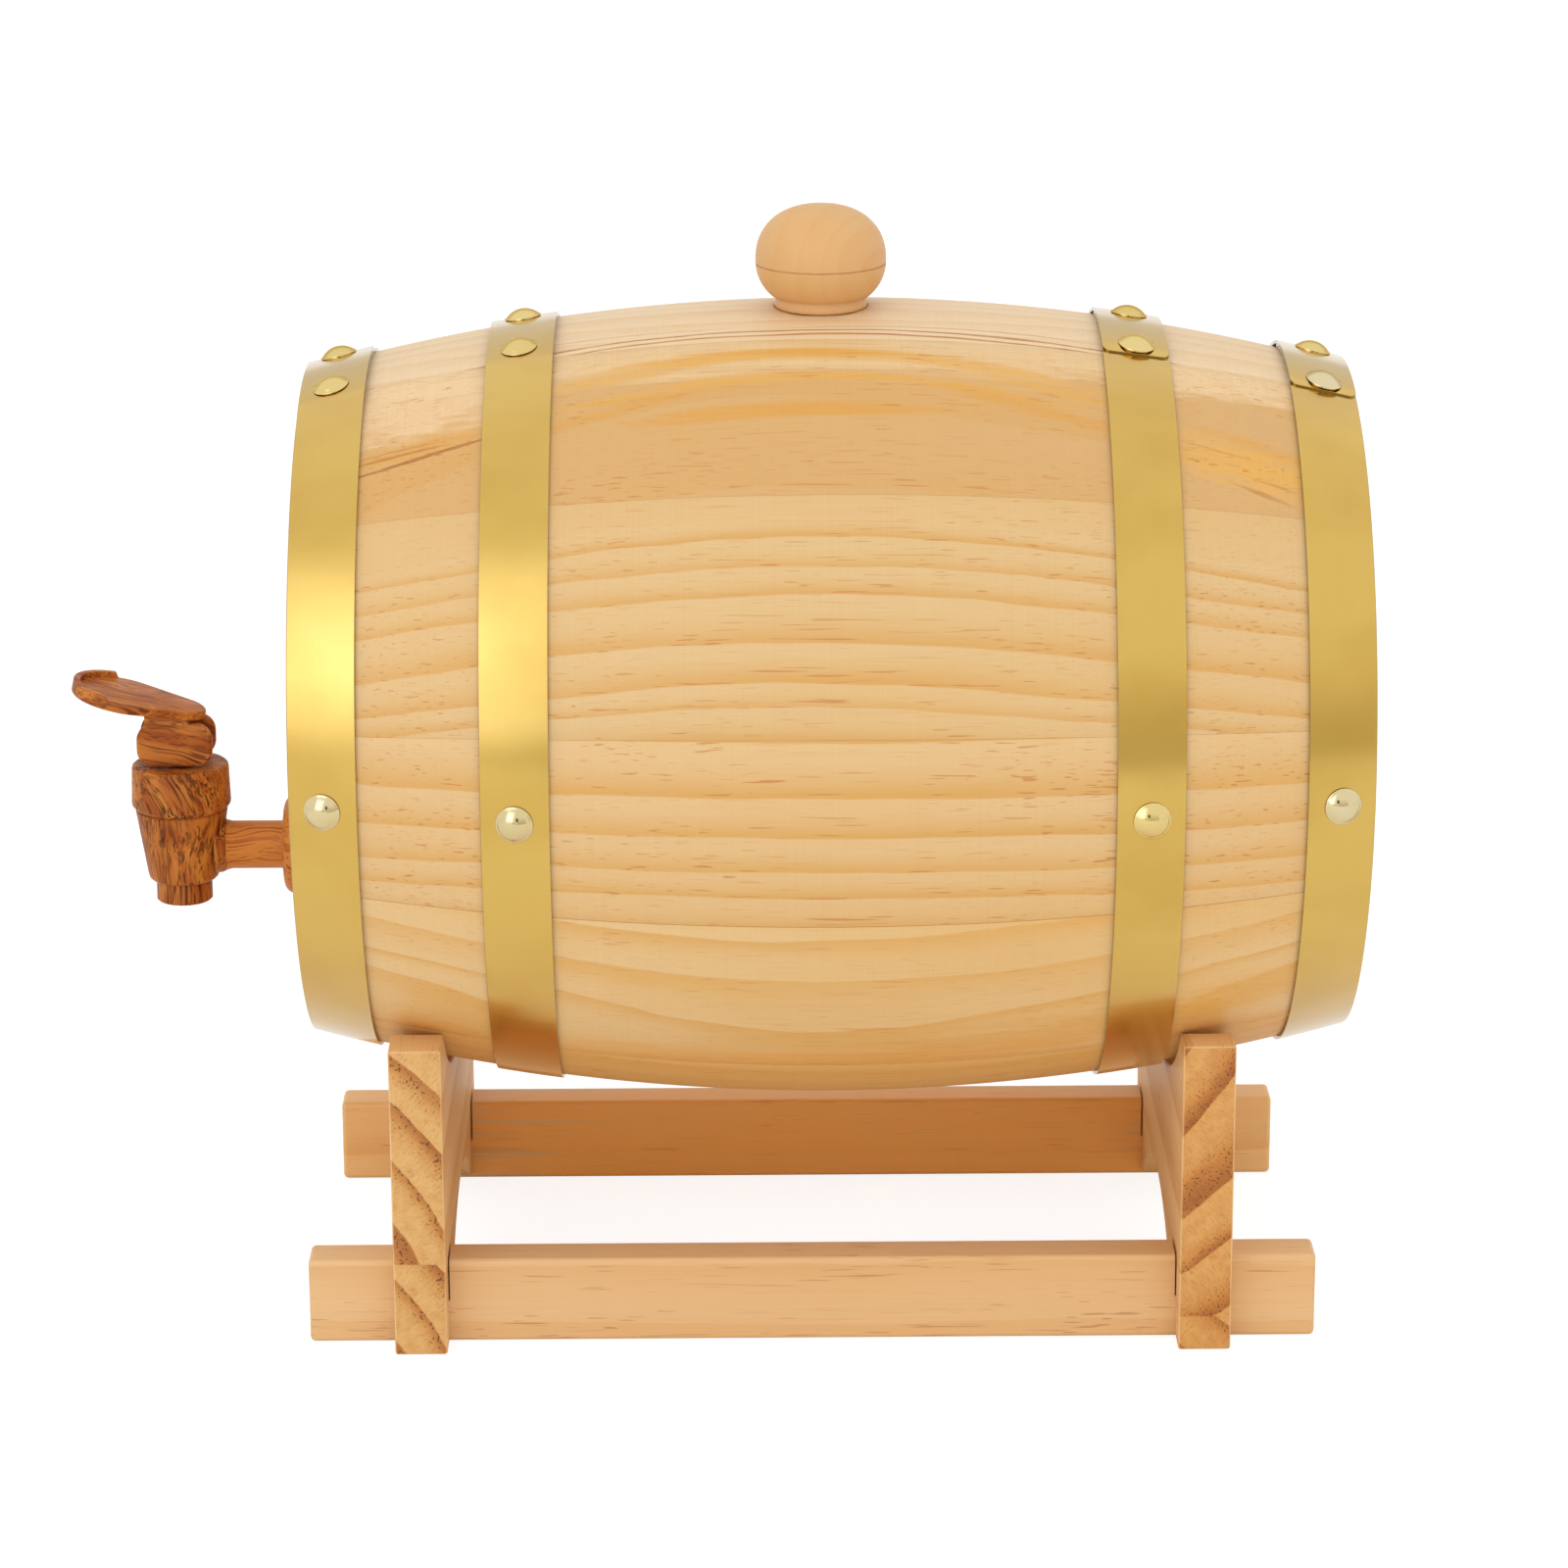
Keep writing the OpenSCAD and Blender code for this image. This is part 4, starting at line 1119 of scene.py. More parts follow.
class BARREL_OT_fasteners(bpy.types.Operator):
    """Model one domed head and copy it to every rivet and nail"""

    bl_idname = "barrel.fasteners"
    bl_label = "Rivets and nails"

    # Stem under the head: radius, foot and top; then the neck's step in from the rim
    STEM = 0.0015
    STEM_LOW = -0.0012
    STEM_TOP = -0.0004
    NECK_STEP = 0.0008
    # Step in from the rim to the start of the dome
    RIM_STEP = 0.00025

    def dome(self, h):
        """A domed head with a small rounded rim, on the origin."""
        r, rise = h.dome / 2, h.rise
        ball = (r * r + rise * rise) / (2 * rise)
        widest = math.asin((r - self.RIM_STEP) / ball)
        neck = r - self.NECK_STEP
        points = [(0.0, self.STEM_LOW), (self.STEM, self.STEM_LOW), (self.STEM, self.STEM_TOP)]
        points += [(neck, self.STEM_TOP), (neck, 0.00008), (r - 0.0001, 0.00010)]
        points += [(r, 0.00020), (r, 0.00032), (r - 0.00012, 0.0005)]
        steps = 14
        for k in range(1, steps + 1):
            a = widest * (1 - k / steps)
            points.append((ball * math.sin(a), rise - ball + ball * math.cos(a)))
        return turn_on_lathe(points, (0, 0, 0), "Z", 48)

    def places(self, s, h):
        """Node, kind, whether it is silvery, and place of each rivet and nail."""
        made = []
        on_strip, on_lap = h.fit + h.strip, h.fit + 2 * h.strip
        for x in (-h.end_place, -h.bilge_place, h.bilge_place, h.end_place):
            spread = math.degrees(h.pitch / 2 / barrel_radius(s, x))
            for degrees in (SEAM_DEGREES - spread, SEAM_DEGREES + spread):
                silvery = x == h.end_place and degrees > SEAM_DEGREES
                made.append(("seam_rivets", "rivet", silvery, on_barrel(s, x, degrees, on_lap)))
            for degrees in (-NAIL_DEGREES, NAIL_DEGREES):
                silvery = x != h.bilge_place
                made.append(("hoop_nails", "nail", silvery, on_barrel(s, x, degrees, on_strip)))
        return made

    def execute(self, context):
        s, h = context.scene.barrel_settings, context.scene.hoop_settings
        golden = brushed_brass(
            "rivet_brass", h.rivet, gloss=0.10, brush=0.10, coat=0.3, rim=(0.80, 0.64, 0.34)
        )
        pale = brushed_brass(
            "nail_brass", h.nail, gloss=0.07, brush=0.06, coat=0.3, rim=(0.62, 0.52, 0.34)
        )
        model = self.dome(h)
        for k, (node, kind, silvery, matrix) in enumerate(self.places(s, h)):
            pick(model)
            bpy.ops.object.duplicate()
            piece = context.object
            piece.matrix_world = matrix
            place_applied()
            name = f"hoop_{kind}_{k + 1:02d}"
            brass = pale if silvery else golden
            finish_piece(piece, name, "barrel", [node], brass, smooth=40)
        bpy.data.objects.remove(model)
        return {"FINISHED"}


class BARREL_OT_bung(bpy.types.Operator):
    """Turn the bung's knob, foot and plug"""

    bl_idname = "barrel.bung"
    bl_label = "Bung"

    # Heights from the barrel's top: foot, neck over the foot, and the knob's widest line
    FOOT = -0.0006
    NECK = 0.0029
    WAIST = 0.0146
    # Radius of the knob's lower curve, and height of the crown over the widest line
    BELLY = 0.0146
    CROWN = 0.0182
    # Power of the crown's curve: fuller at its shoulder than half an ellipse
    FULLNESS = 2 / 2.3
    # Length of the plug and its slack in the hole; foot of the turned groove and its depth
    PLUG = 0.024
    SLACK = 0.0003
    GROOVE = 0.0009
    GROOVE_DEPTH = 0.0005

    def profile(self, b):
        """Radius and height of each point from the plug up to the crown."""
        top, foot, plug = b.knob / 2, b.foot / 2, b.hole / 2 - self.SLACK
        low, neck, waist = self.FOOT - self.PLUG, self.NECK, self.WAIST
        points = [(0.0, low), (plug - 0.0024, low), (plug - 0.0014, low + 0.001), (plug, self.FOOT)]
        points += [(foot - 0.0003, self.FOOT), (foot, self.FOOT + 0.0003), (foot, self.FOOT + 0.0012)]
        points += [(foot - 0.0002, self.FOOT + 0.0022), (foot - 0.0006, neck - 0.0004)]
        points.append((foot - 0.0006, neck))
        first = math.asin((waist - neck - 0.0004) / self.BELLY)
        points += arc((top - self.BELLY, waist), self.BELLY, -first, -self.GROOVE / self.BELLY, 16)
        points += [(top - self.GROOVE_DEPTH, waist - 0.00075), (top - self.GROOVE_DEPTH, waist - 0.00050)]
        points.append((top, waist - 0.0003))
        steps = 40
        for k in range(steps):
            a = math.pi / 2 * k / steps
            out, up = math.cos(a) ** self.FULLNESS, math.sin(a) ** self.FULLNESS
            points.append((top * out, waist + self.CROWN * up))
        return points + [(0.0, waist + self.CROWN)]

    def execute(self, context):
        s, b = context.scene.barrel_settings, context.scene.bung_settings
        origin = (s.middle + b.offset, 0, s.height + s.belly / 2)
        piece = turn_on_lathe(self.profile(b), origin, "Z")
        turn = Matrix.Rotation(0.22, 3, "Y") @ Matrix.Rotation(math.pi / 2, 3, "Z")
        wood = pine(
            "bung_pine", turn, origin, (0, 0.019, 0.010), 0.0066,
            shaded(b.pale, (0.91, 0.87, 0.79)), b.amber, s.fleck,
            contrast=0.42, warm=0.25, flecks=0.06, seed=71, waves=0.4, gloss=0.40,
        )
        finish_piece(piece, "turned_bung", "bung", ["bung"], wood, smooth=50)
        return {"FINISHED"}


class BARREL_OT_tap(bpy.types.Operator):
    """Model the tap's body, shank, flange and bonnet, and finish the pieces inside"""

    bl_idname = "barrel.tap"
    bl_label = "Tap"

    # Radii of the body's parts
    SPOUT = 0.0093
    SPOUT_BORE = 0.0062
    CHAMBER = 0.0100
    COLLAR = 0.0134
    # Heights of the body's parts from the shank's axis
    SPOUT_LOW = -0.0187
    COLLAR_LOW = 0.0134
    COLLAR_TOP = 0.0220
    # Places along the shank from the upright axis, and rounding of the flange's front
    SHANK_START = 0.0112
    GRAIN_TURNS = 0.0150
    FLANGE_FRONT = 0.0342
    FLANGE_BACK = 0.0495
    SHANK_END = 0.0804
    FLANGE_EDGE = 0.0036
    # Heights of the bonnet, and radii of its inside and of the stem's hole
    BONNET_LOW = 0.0135
    BONNET_ROOF = 0.0256
    BONNET_TOP = 0.0286
    BONNET_BORE = 0.0137
    STEM_HOLE = 0.00406

    def body(self, t, origin):
        """Body with its spout and chamber in one turned wall, joined to the shank."""
        low, bore, spout = self.SPOUT_LOW, self.SPOUT_BORE, self.SPOUT
        wall = [(0.0080, low), (bore, low + 0.0006), (bore, -0.0081), (self.CHAMBER, -0.0043)]
        wall += [(self.CHAMBER, self.COLLAR_TOP), (self.COLLAR, self.COLLAR_TOP)]
        wall += [(self.COLLAR, self.COLLAR_LOW), (0.0147, self.COLLAR_LOW), (0.0153, 0.0128)]
        wall += [(0.0119, -0.0089), (0.0115, -0.0104), (0.0108, -0.0111), (0.0100, -0.0113)]
        wall += [(0.0094, -0.0114), (spout, -0.0118), (spout, low + 0.0005), (0.0088, low)]
        piece = turn_on_lathe(wall + wall[:1], origin, "Z")
        combine(piece, turn_on_lathe(self.shank(t), origin, "X"), "UNION")
        return tidy_mesh(piece)

    def shank(self, t):
        """Radius and place along X of the shank, with the flange that bears on the barrel."""
        r, f, edge = t.shank / 2, t.flange / 2, self.FLANGE_EDGE
        start, front, back, end = self.SHANK_START, self.FLANGE_FRONT, self.FLANGE_BACK, self.SHANK_END
        points = [(0.0, start), (r + 0.0016, start), (r + 0.0011, 0.0136), (r + 0.0004, 0.0150)]
        points += [(r, 0.0166), (r, front - 0.0012), (r + 0.0004, front - 0.0003), (r + 0.0014, front)]
        points += arc((f - edge, front + edge), edge, -math.pi / 2, 0, 8)
        points += [(f, back - 0.0002), (f - 0.0006, back), (r, back)]
        return points + [(r, end - 0.0008), (r - 0.0008, end), (0.0, end)]

    def bonnet(self, t):
        """Radius and height of the bonnet, a cap with a hole for the stem."""
        r, bore, hole = t.bonnet / 2, self.BONNET_BORE, self.STEM_HOLE
        base, roof, top = self.BONNET_LOW, self.BONNET_ROOF, self.BONNET_TOP
        points = [(bore, base), (r - 0.0014, base), (r - 0.0010, base + 0.0002)]
        points += [(r - 0.0001, base + 0.0014), (r, base + 0.0020), (r - 0.0004, top - 0.0013)]
        points += [(r - 0.0006, top - 0.0006), (r - 0.0012, top - 0.0001), (r - 0.0018, top)]
        points += [(0.0048, top), (hole, top - 0.0005), (hole, roof), (bore, roof)]
        return points + points[:1]

    def execute(self, context):
        t = context.scene.tap_settings
        origin = Vector((t.middle, 0, t.height))
        upright = Matrix.Rotation(math.pi / 2, 3, "Y") @ Matrix.Rotation(0.05, 3, "Y")
        body = self.body(t, origin)
        film = grain_film("tap_grain_body", upright, t.light, t.red, t.dark, seed=1.0)
        along = grain_film(
            "tap_grain_shank", Matrix.Identity(3), t.light, t.light, t.red, seed=2.0, stretch=1.6, waves=1.6
        )
        finish_piece(body, "tap_body_shank", "barrel", ["tap_body"], film)
        body.data.materials.append(along)
        for face in body.data.polygons:
            if face.center.x > t.middle + self.GRAIN_TURNS:
                face.material_index = 1

        bonnet = turn_on_lathe(self.bonnet(t), origin, "Z")
        slanted = Matrix.Rotation(-1.0, 3, "Y") @ Matrix.Rotation(0.25, 3, "X")
        film = grain_film("tap_grain_bonnet", slanted, t.light, t.red, t.dark, seed=3.0)
        finish_piece(bonnet, "tap_bonnet", "barrel", ["bonnet"], film, smooth=40)

        rubber = soft_rubber("soft_seal", t.seal)
        inner = grain_film("tap_grain_inner", upright, t.light, t.red, t.dark, seed=5.0)
        for node, material in (
            ("outer_gasket", rubber), ("inner_gasket", rubber), ("seat_cup", rubber),
            ("tap_nut", inner), ("valve_stem", inner),
        ):
            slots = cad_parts[node].data.materials
            slots.clear()
            slots.append(material)
        return {"FINISHED"}


class BARREL_OT_lever(bpy.types.Operator):
    """Model the lever: a rimmed paddle over two cam cheeks"""

    bl_idname = "barrel.lever"
    bl_label = "Lever"

    # The pivot from the tap's middle and the shank's axis, and the hole for the stem's trunnions
    PIVOT = (0.002, 0.03735)
    PIN_HOLE = 0.00206
    PIN_REACH = 0.0074
    # Paddle before it is tilted, from the pivot: underside, thickness, and places of its toe and heel
    PADDLE_LOW = 0.0080
    PADDLE_THICK = 0.0030
    TOE = -0.02342
    HEEL = -0.0039
    HEEL_RADIUS = 0.0090
    # Rim of the paddle: height, width, depth in the paddle, and the slope that ends it
    RIM_RISE = 0.0018
    RIM_WIDTH = 0.0022
    RIM_SUNK = 0.0012
    RIM_END = -0.0265
    RIM_SLOPE = (0.82, 0, 0.57)
    # Cheeks: inner and outer side, outline from the pivot, rounding of its corners and of its edges
    CHEEK_IN = 0.0042
    CHEEK_OUT = 0.0082
    CHEEK_X = (-0.0154, 0.0096)
    CHEEK_Z = (-0.0080, 0.0065)
    CHEEK_CORNER = 0.0055
    CHEEK_EDGE = 0.0011
    # Webs: outline along the tap, height in the paddle, steps in from the cheek's sides, rounded edges
    WEB_X = (-0.0124, 0.0013)
    WEB_TOP = 0.0095
    WEB_IN = 0.00004
    WEB_STEP = 0.0004
    WEB_EDGE = 0.0004

    def plan(self, t, height):
        """The paddle's plan as one face, selected in edit mode: a disc drawn out to a smaller heel."""
        radius, toe = t.paddle / 2, self.TOE
        clear_selection()
        bpy.ops.mesh.primitive_circle_add(
            vertices=96, radius=radius, fill_type="NGON", location=(toe, 0, height)
        )
        piece = place_applied()
        edit(piece)
        mesh = bmesh.from_edit_mesh(piece.data)
        bpy.ops.mesh.select_all(action="DESELECT")
        reach = radius * (radius - self.HEEL_RADIUS) / (self.HEEL - toe)
        for v in mesh.verts:
            v.select = v.co.x > toe + reach + 1e-5
        mesh.select_flush_mode()
        bmesh.update_edit_mesh(piece.data)
        share = self.HEEL_RADIUS / radius
        bpy.ops.transform.resize(value=(share, share, 1), center_override=(toe, 0, height))
        bpy.ops.transform.translate(value=(self.HEEL - toe, 0, 0))
        bpy.ops.mesh.select_all(action="SELECT")
        return piece

    def paddle(self, t, pivot):
        """Paddle with its raised rim, tilted about the pivot."""
        low, thick = self.PADDLE_LOW, self.PADDLE_THICK
        piece = self.plan(t, low)
        extrude((0, 0, thick))
        close_up()
        ease(piece, 0.0010, segments=3, angle=50)
        lip = self.plan(t, low + self.RIM_SUNK)
        bpy.ops.mesh.inset(thickness=self.RIM_WIDTH)
        bpy.ops.mesh.delete(type="FACE")
        bpy.ops.mesh.select_all(action="SELECT")
        extrude((0, 0, thick + self.RIM_RISE - self.RIM_SUNK))
        bpy.ops.mesh.select_all(action="SELECT")
        bpy.ops.mesh.normals_make_consistent(inside=False)
        bpy.ops.mesh.bisect(
            plane_co=(self.RIM_END, 0, low + thick), plane_no=self.RIM_SLOPE, clear_outer=True, use_fill=True
        )
        close_up()
        ease(lip, 0.0008, segments=3, angle=40)
        combine(piece, lip, "UNION")
        return set_down(piece, pivot, (0, t.tilt, 0))

    def slab(self, outline, pivot, low, high, edge):
        """A slab between two places across the tap, from an outline of X and Z."""
        piece = draw_slab([pivot + Vector((x, low, z)) for x, z in outline], (0, high - low, 0))
        return ease(piece, edge, segments=3, angle=40)

    def cheek(self):
        """Outline of a cam cheek, a box with well rounded corners."""
        r = self.CHEEK_CORNER
        front, back = self.CHEEK_X[0] + r, self.CHEEK_X[1] - r
        base, top = self.CHEEK_Z[0] + r, self.CHEEK_Z[1] - r
        outline = []
        for k, centre in enumerate(((back, base), (back, top), (front, top), (front, base))):
            start = math.pi / 2 * (k - 1)
            outline += arc(centre, r, start, start + math.pi / 2, 9)
        return outline

    def web(self, t):
        """Outline of the web from a cheek up into the paddle."""
        front, back = self.WEB_X
        reach, slope = self.WEB_TOP / math.cos(t.tilt), math.tan(t.tilt)
        return [
            (front - 0.0014, 0.0010), (back + 0.0030, 0.0010), (back + 0.0016, 0.0058),
            (back + 0.0004, 0.0070), (back, reach - slope * back), (front, reach - slope * front),
            (front - 0.0002, 0.0066),
        ]

    def execute(self, context):
        t = context.scene.tap_settings
        pivot = Vector((t.middle + self.PIVOT[0], 0, t.height + self.PIVOT[1]))
        piece = self.paddle(t, pivot)
        for side in (-1, 1):
            low, high = sorted((side * self.CHEEK_IN, side * self.CHEEK_OUT))
            cheek = self.slab(self.cheek(), pivot, low, high, self.CHEEK_EDGE)
            web_in, web_out = self.CHEEK_IN + self.WEB_IN, self.CHEEK_OUT - self.WEB_STEP
            low, high = sorted((side * web_in, side * web_out))
            combine(cheek, self.slab(self.web(t), pivot, low, high, self.WEB_EDGE), "UNION")
            combine(piece, cheek, "UNION")
        pin_hole = add_cylinder(self.PIN_HOLE, -self.PIN_REACH, self.PIN_REACH, (0, 0, 0))
        set_down(pin_hole, pivot, (math.pi / 2, 0, 0))
        combine(piece, pin_hole, "DIFFERENCE")
        tidy_mesh(piece)
        turn = Matrix.Rotation(-t.tilt, 3, "Y")
        soft = shaded(t.dark, (3.0, 3.0, 2.4))
        film = grain_film(
            "tap_grain_lever", turn, t.light, t.red, soft, seed=9.0, stretch=1.5, waves=1.3
        )
        finish_piece(piece, "tap_lever", "lever", ["lever"], film, smooth=35)
        return {"FINISHED"}


# Heart from the board's middle as (along, X, up) in the grain's frame, ring width, glue line and shift of
# the rings below it, all in metres; then factors on the end grain's colours
CRADLE_GRAIN = {
    "tap_cradle": {
        "heart": (0.0, -0.100, -0.016), "ring": 0.0150, "glue": 0.0315, "shift": (0.0, 0.0, 0.041),
        "seed": 41.0, "tone": (1.0, 1.0, 1.0), "deep": (0.95, 0.90, 0.85),
    },
    "back_cradle": {
        "heart": (0.0, -0.0915, 0.1535), "ring": 0.0184, "glue": 0.0118, "shift": (0.0, 0.0, 0.260),
        "seed": 48.0, "tone": (0.96, 0.83, 0.66), "deep": (0.80, 0.62, 0.50),
    },
}


class BARREL_OT_cradles(bpy.types.Operator):
    """Model the two cradle boards with their arch, feet and rail notches"""

    bl_idname = "barrel.cradles"
    bl_label = "Cradles"

    # Gap between the barrel and a cradle's arch at its inner edge
    BED_GAP = 0.00035

    def outline(self, s, w, inner, near, far, top):
        """Outline across the stand: horns, arch under the barrel, notches and arch between the feet."""
        touch = barrel_radius(s, inner - s.middle) + self.BED_GAP
        drop = s.height - w.horn
        tip = math.sqrt(touch * touch - drop * drop)
        bed = math.hypot(tip, drop - w.arch_drop)
        bed_z = s.height - w.arch_drop
        foot = (w.foot_gap ** 2 + w.foot_rise ** 2) / (2 * w.foot_rise)
        foot_z = w.foot_rise - foot
        points = [(far, 0.0), (w.half_width, 0.0), (w.half_width, w.horn)]
        end = math.asin(tip / bed)
        points += arc((0, bed_z), bed, end - math.pi / 2, -end - math.pi / 2, 48)
        points += [(-w.half_width, w.horn), (-w.half_width, 0.0), (-far, 0.0), (-far, top), (-near, top)]
        end = math.asin(near / foot)
        points += arc((0, foot_z), foot, math.pi / 2 + end, math.pi / 2 - end, 36)
        return points + [(near, top), (far, top)]

    def wood(self, w, node, middle):
        """The pine of one cradle, glued from two strips."""
        g = CRADLE_GRAIN[node]
        heart = g["heart"]
        return pine(
            f"{node}_pine", Matrix.Rotation(math.pi / 2, 3, "Z"), middle, heart, g["ring"],
            # The cradles' pale is lighter than the rails': painted light that makes up for the barrel's
            # shade on their inner faces.
            shaded(w.pale, (1.10, 1.12, 1.08)), w.amber, w.fleck,
            contrast=0.8, warm=0.20, flecks=0.6, seed=g["seed"], waves=0.45,
            glue=(g["glue"], g["shift"]), gloss=0.44,
            end={
                "axis": (0, 1, 0), "pale": shaded(w.end_pale, g["tone"]),
                "mid": shaded(w.end_mid, g["tone"]), "late": shaded(w.end_late, g["deep"]),
                "reach": math.hypot(heart[1], heart[2] - w.horn / 2),
            },
        )

    def execute(self, context):
        s, w = context.scene.barrel_settings, context.scene.stand_settings
        rail_low, rail_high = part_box("rear_rail")
        near, far, top = rail_low.y - w.notch, rail_high.y + w.notch, rail_high.z + w.notch
        for node in ("tap_cradle", "back_cradle"):
            low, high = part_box(node)
            inner = high.x if node == "tap_cradle" else low.x
            outline = self.outline(s, w, inner, near, far, top)
            piece = draw_slab([(low.x, y, z) for y, z in outline], (high.x - low.x, 0, 0))
            ease(piece, w.edge, segments=3, angle=30)
            wood = self.wood(w, node, ((low.x + high.x) / 2, 0, 0))
            finish_piece(piece, f"stand_{node}", "stand", [node], wood, smooth=30, flat=True)
        return {"FINISHED"}


# Each rail: heart from its middle and ring width in metres, factors on its colours, contrast, flecks, seed
RAIL_GRAIN = {
    "front_rail": {
        "heart": (0, -0.045, -0.040), "ring": 0.012, "tone": PLAIN,
        "contrast": 0.40, "flecks": 0.65, "seed": 57.0,
    },
    # The rear rail's lighter, warmer tone is partly painted light, making up for the barrel's shade.
    "rear_rail": {
        "heart": (0, -0.030, 0.055), "ring": 0.022, "tone": (1.05, 0.98, 0.85),
        "contrast": 0.7, "flecks": 0.40, "seed": 66.0,
    },
}
# Painted warm bounce light and shade on the rear rail's front under the barrel: half size in mm, lean, bow,
# soft share, colour, strength
REAR_BOUNCE_SHADE = ((130, 14), 0.0, 0.0, 0.80, (0.97, 0.46, 0.105), 0.95)


class BARREL_OT_rails(bpy.types.Operator):
    """Model the two rails with rounded edges and a slot beside each cradle"""

    bl_idname = "barrel.rails"
    bl_label = "Rails"

    def rail(self, w, low, high):
        """A block with rounded edges, slotted from its middle up at the inner side of each cradle."""
        piece = add_block(low, high)
        edit(piece)
        bpy.ops.mesh.bevel(offset=w.rail_edge, segments=4, affect="EDGES")
        close_up()
        middle = (low.z + high.z) / 2
        starts = (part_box("tap_cradle")[1].x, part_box("back_cradle")[0].x - w.slot)
        for start in starts:
            slot = add_block((start, low.y - MM, middle), (start + w.slot, high.y + MM, high.z + MM))
            combine(piece, slot, "DIFFERENCE")
        return piece

    def execute(self, context):
        s, w = context.scene.barrel_settings, context.scene.stand_settings
        for node, g in RAIL_GRAIN.items():
            low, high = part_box(node)
            piece = self.rail(w, low, high)
            patches = ()
            # The rear rail's front gets painted warm bounce light and shade under the barrel.
            if node == "rear_rail":
                front = (low.y - high.y) / 2 / MM
                patches = (((s.middle / MM, front), *REAR_BOUNCE_SHADE),)
            centre = (0, (low.y + high.y) / 2, high.z / 2)
            wood = pine(
                f"{node}_pine", Matrix.Rotation(GRAIN_LEAN, 3, "Z"), centre, g["heart"], g["ring"],
                shaded(w.pale, g["tone"]), shaded(w.amber, g["tone"]), w.fleck,
                contrast=g["contrast"], warm=0.25, flecks=g["flecks"], seed=g["seed"],
                waves=0.5, gloss=0.45, patches=patches,
                end={"axis": (1, 0, 0), "pale": w.pale, "mid": w.amber, "late": w.end_mid},
            )
            finish_piece(piece, f"stand_{node}", "stand", [node], wood, smooth=40, flat=True)
        return {"FINISHED"}


class BARREL_OT_stage(bpy.types.Operator):
    """Set the pale floor, the soft light and the camera"""

    bl_idname = "barrel.stage"
    bl_label = "Stage"

    # What the lamps face, and where the softbox at the tap's side stands
    AIM = (0.03, 0.0, 0.20)
    TAP_SIDE = (-1.12, -1.62, 1.38)
    # Colours of the lamps and of the shine that gloss sees
    LAMP = (1.0, 1.0, 1.0)
    SHINE = (0.90, 1.0, 1.35)
    # Camera: place, aim, roll in radians and lens in mm
    CAMERA = (0.0143, -1.6620, 0.6597)
    CAMERA_AIM = (0.02597, 0.0, 0.1654)
    CAMERA_ROLL = -0.004
    LENS = 119.2

    def softbox(self, name, place, wide, tall, power, shine=False):
        """A rectangular soft light that faces the barrel, for matt surfaces or as a shine in gloss."""
        data = bpy.data.lights.new(name, "AREA")
        data.shape, data.size, data.size_y, data.energy = "RECTANGLE", wide, tall, power
        data.color = self.SHINE if shine else self.LAMP
        lamp = bpy.data.objects.new(name, data)
        bpy.context.scene.collection.objects.link(lamp)
        lamp.location = place
        lamp.visible_glossy, lamp.visible_diffuse = shine, not shine
        lamp.rotation_euler = (Vector(self.AIM) - Vector(place)).to_track_quat("-Z", "Y").to_euler()

    def seen(self, tree, *kinds):
        """One for rays of any of the kinds."""
        path = tree.nodes.new("ShaderNodeLightPath")
        total = path.outputs[kinds[0]]
        for name in kinds[1:]:
            add = tree.nodes.new("ShaderNodeMath")
            add.operation, add.use_clamp = "ADD", True
            tree.links.new(total, add.inputs[0])
            tree.links.new(path.outputs[name], add.inputs[1])
            total = add.outputs[0]
        return total

    def sheet(self, name, place, wide, long, turn=(0, 0, 0)):
        """A flat sheet at its place."""
        clear_selection()
        bpy.ops.mesh.primitive_plane_add(size=1, location=place, rotation=turn)
        bpy.context.object.scale = (wide, long, 1.0)
        made = place_applied()
        made.name = name
        return made

    def floor(self, g):
        """A pale floor with the object's shadow; the camera and gloss see it lifted towards white."""
        floor = self.sheet("studio_floor", (0, 2.2, -0.0002), 12.0, 7.6)
        f = Finish("studio_floor_paint")
        speck = f.noise(f.coords(), (3, 3, 3))
        paint = f.mix(speck, g.floor, darker(g.floor, 0.995))
        f.set(Base_Color=paint, Roughness=0.9, Specular_IOR_Level=0.0)
        chosen = f.shader
        for kinds, light, part in (
            (("Is Glossy Ray", "Is Transmission Ray"), 0.08, 0.88),
            (("Is Camera Ray",), 0.84, 0.30),
        ):
            glow = f.node("ShaderNodeEmission", {"Color": PLAIN, "Strength": light})
            thin = f.node("ShaderNodeBsdfDiffuse", {"Color": (part, part, part)})
            lifted = f.node("ShaderNodeAddShader", {0: thin.outputs[0], 1: glow.outputs[0]})
            seen = self.seen(f.tree, *kinds)
            chosen = f.node("ShaderNodeMixShader", {0: seen, 1: chosen.outputs[0], 2: lifted.outputs[0]})
        f.tree.links.new(chosen.outputs[0], f.tree.nodes["Material Output"].inputs["Surface"])
        floor.data.materials.append(f.material)

    def only_gloss(self, card, finish):
        """Paints a card that only gloss sees."""
        card.data.materials.append(finish.material)
        card.visible_camera = card.visible_diffuse = False
        card.visible_transmission = card.visible_shadow = False

    def card(self, name, low, high, shades, reach):
        """A glowing upright card that only gloss sees, a painted reflection, shaded from its foot to its
        head and clear towards the tap's side.
        """
        low, high = Vector(low), Vector(high)
        upright = (math.pi / 2, 0, 0)
        card = self.sheet(name, (low + high) / 2, high.x - low.x, high.z - low.z, upright)
        f = Finish(f"{name}_paint")
        at = f.node("ShaderNodeSeparateXYZ", {0: f.coords()}).outputs
        level = f.span(at[2], low.z, high.z, *shades)
        side = f.span(at[0], low.x, low.x + reach, 1.0, 0.0)
        level = f.math("MULTIPLY_ADD", side, f.math("SUBTRACT", 1.0, level), level)
        f.glow((1.0, 0.96, 0.86), level)
        self.only_gloss(card, f)

